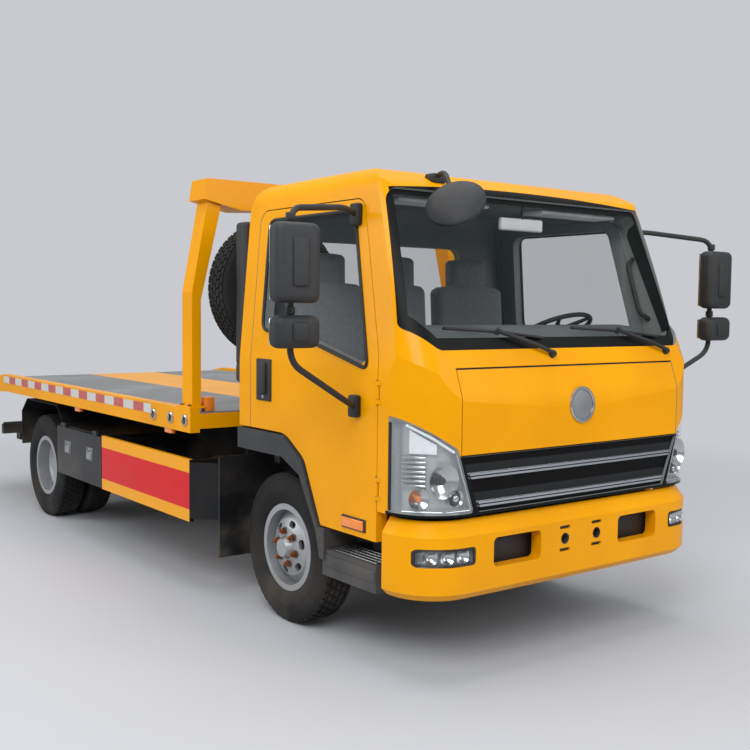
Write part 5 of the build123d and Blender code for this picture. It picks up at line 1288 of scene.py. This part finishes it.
class TOWTRUCK_OT_intake(bpy.types.Operator):
    """Build the air intake behind the cab"""

    bl_idname = "towtruck.intake"
    bl_label = "Air intake"

    def execute(self, context):
        piece = Piece("air_intake_duct")
        x = span(-0.455, -0.345)
        piece.slab(x, (-0.905, -0.770), (1.290, 2.050), "black_plastic", 0.022, 4)
        piece.slab(x, (-0.905, -0.600), (1.200, 1.310), "black_plastic", 0.022, 4)
        for k in range(9):
            z = 1.800 + k * 0.025
            piece.slab((x[0] - 0.003, x[1] + 0.003), (-0.890, -0.785), (z, z + 0.010), "seal", 0.002)
        for k in range(8):
            z = 0.800 + k * 0.050
            hose = (ax(-0.425), -0.630)
            piece.bar((*hose, z), (*hose, z + 0.026), 0.034, "black_plastic", 24, edge=0.004)
            piece.bar((*hose, z + 0.02), (*hose, z + 0.055), 0.028, "black_plastic", 24)
        piece.slab(span(-0.455, -0.395), (-0.660, -0.350), (0.740, 0.805), "black_plastic", 0.012, 3)
        piece.done("chassis", "dark_plastic", "air_intake")
        return {"FINISHED"}


BACKDROP = tint("#c8cacf")
FLOOR_HALF = 60.0
# Distances between which the floor fades into the backdrop
FADE_START, FADE_STOP = 3.4, 7.5
# Each lamp's name, place, aim, power and size
STUDIO_LAMPS = [
    ("key", (7.5, -7.0, 7.5), (0.5, -0.4, 1.0), 640, 5.0),
    ("fill", (-5.0, -9.0, 5.0), (-1.0, -0.5, 0.9), 330, 6.0),
    ("front", (10.5, 3.5, 5.0), (2.6, 0.3, 1.1), 330, 5.0),
    ("top", (0.0, 0.0, 9.0), (0.0, 0.0, 1.0), 480, 8.0),
]
CAMERA_PLACE = (ax(4.3488), -3.5932, 1.6044)
CAMERA_YAW, CAMERA_PITCH, CAMERA_ROLL = 0.64752, 0.06590, 0.010517
SENSOR, FOCAL_PIXELS, PICTURE_PIXELS = 36.0, 1017.64, 750


class TOWTRUCK_OT_stage(bpy.types.Operator):
    """Set the floor, the lights and the camera"""

    bl_idname = "towtruck.stage"
    bl_label = "Stage"

    def execute(self, context):
        scene = context.scene
        scene.view_settings.view_transform = "Standard"
        mesh = bmesh.new()
        verts = bmesh.ops.create_grid(mesh, x_segments=1, y_segments=1, size=FLOOR_HALF)["verts"]
        bmesh.ops.translate(mesh, vec=(0, 0, -0.001), verts=verts)
        data = bpy.data.meshes.new("floor")
        mesh.to_mesh(data)
        mesh.free()
        ground = Shader("floor")
        ground.set(Base_Color=tint("#b9bbc0"), Roughness=ground.noise(2.0) * 0.05 + 0.8)
        seen = ground.node("ShaderNodeLightPath", output="Is Camera Ray")
        away = ground.node("ShaderNodeVectorMath", {"operation": "LENGTH"}, [ground.place], "Value")
        glow = ground.node("ShaderNodeEmission", inputs={"Color": BACKDROP, "Strength": 1.0})
        fade = ground.rise(away, FADE_START, FADE_STOP) * seen
        lit = Value(ground, ground.surface.outputs[0])
        blend = ground.node("ShaderNodeMixShader", inputs={0: fade, 1: lit, 2: glow})
        ground.plug(ground.tree.get_output_node("ALL").inputs[0], blend)
        data.materials.append(ground.material)
        floor = bpy.data.objects.new("floor", data)
        scene.collection.objects.link(floor)

        world = bpy.data.worlds.new("studio")
        scene.world = world
        world.use_nodes = True
        tree = world.node_tree
        back = tree.nodes["Background"]
        back.inputs["Color"].default_value = (0.80, 0.82, 0.84, 1)
        back.inputs["Strength"].default_value = 0.55
        plain = tree.nodes.new("ShaderNodeBackground")
        plain.inputs["Color"].default_value = BACKDROP
        choose = tree.nodes.new("ShaderNodeMixShader")
        rays = tree.nodes.new("ShaderNodeLightPath")
        tree.links.new(rays.outputs["Is Camera Ray"], choose.inputs[0])
        tree.links.new(back.outputs[0], choose.inputs[1])
        tree.links.new(plain.outputs[0], choose.inputs[2])
        tree.links.new(choose.outputs[0], tree.get_output_node("ALL").inputs[0])
        for name, place, aim, power, size in STUDIO_LAMPS:
            light = bpy.data.lights.new(name, "AREA")
            light.energy = power
            light.size = size
            lamp = bpy.data.objects.new(name, light)
            lamp.location = place
            lamp.rotation_euler = (Vector(aim) - Vector(place)).to_track_quat("-Z", "Y").to_euler()
            scene.collection.objects.link(lamp)

        level = cos(CAMERA_PITCH)
        look = Vector((-cos(CAMERA_YAW) * level, sin(CAMERA_YAW) * level, -sin(CAMERA_PITCH)))
        right = look.cross(Vector((0, 0, 1))).normalized()
        up = right.cross(look)
        turned_right = right * cos(CAMERA_ROLL) + up * sin(CAMERA_ROLL)
        turned_up = up * cos(CAMERA_ROLL) - right * sin(CAMERA_ROLL)
        lens_data = bpy.data.cameras.new("camera")
        lens_data.sensor_width = SENSOR
        lens_data.lens = SENSOR * FOCAL_PIXELS / PICTURE_PIXELS
        lens_data.clip_end = 200.0
        camera = bpy.data.objects.new("camera", lens_data)
        turn = Matrix((turned_right, turned_up, -look)).transposed().to_4x4()
        camera.matrix_world = Matrix.Translation(CAMERA_PLACE) @ turn
        scene.collection.objects.link(camera)
        scene.camera = camera
        return {"FINISHED"}


class TOWTRUCK_PT_panel(bpy.types.Panel):
    """Lists the truck's pieces and settings."""

    bl_idname = "TOWTRUCK_PT_panel"
    bl_label = "Tow truck"
    bl_space_type = "VIEW_3D"
    bl_region_type = "UI"
    bl_category = "Tow truck"

    def draw(self, context):
        for group in (context.scene.tow_truck_colours, context.scene.tow_truck_sizes):
            for key in group.bl_rna.properties.keys():
                if key not in {"rna_type", "name"}:
                    self.layout.prop(group, key)
        for operator in OPERATORS:
            self.layout.operator(operator.bl_idname)


OPERATORS = [
    TOWTRUCK_OT_stage, TOWTRUCK_OT_finishes, TOWTRUCK_OT_tyres, TOWTRUCK_OT_wheel_nuts, TOWTRUCK_OT_lamps,
    TOWTRUCK_OT_front_trim, TOWTRUCK_OT_wipers, TOWTRUCK_OT_mirrors, TOWTRUCK_OT_door_trim,
    TOWTRUCK_OT_steps, TOWTRUCK_OT_bed_trim, TOWTRUCK_OT_winch, TOWTRUCK_OT_rear_trim, TOWTRUCK_OT_seats,
    TOWTRUCK_OT_dash, TOWTRUCK_OT_intake,
]
CLASSES = [TowTruckColours, TowTruckSizes, *OPERATORS, TOWTRUCK_PT_panel]


def register():
    for cls in CLASSES:
        bpy.utils.register_class(cls)
    bpy.types.Scene.tow_truck_colours = bpy.props.PointerProperty(type=TowTruckColours)
    bpy.types.Scene.tow_truck_sizes = bpy.props.PointerProperty(type=TowTruckSizes)


def unregister():
    del bpy.types.Scene.tow_truck_sizes
    del bpy.types.Scene.tow_truck_colours
    for cls in reversed(CLASSES):
        bpy.utils.unregister_class(cls)


def main():
    register()
    for operator in OPERATORS:
        group, name = operator.bl_idname.split(".")
        getattr(getattr(bpy.ops, group), name)()


if __name__ == "__main__":
    main()
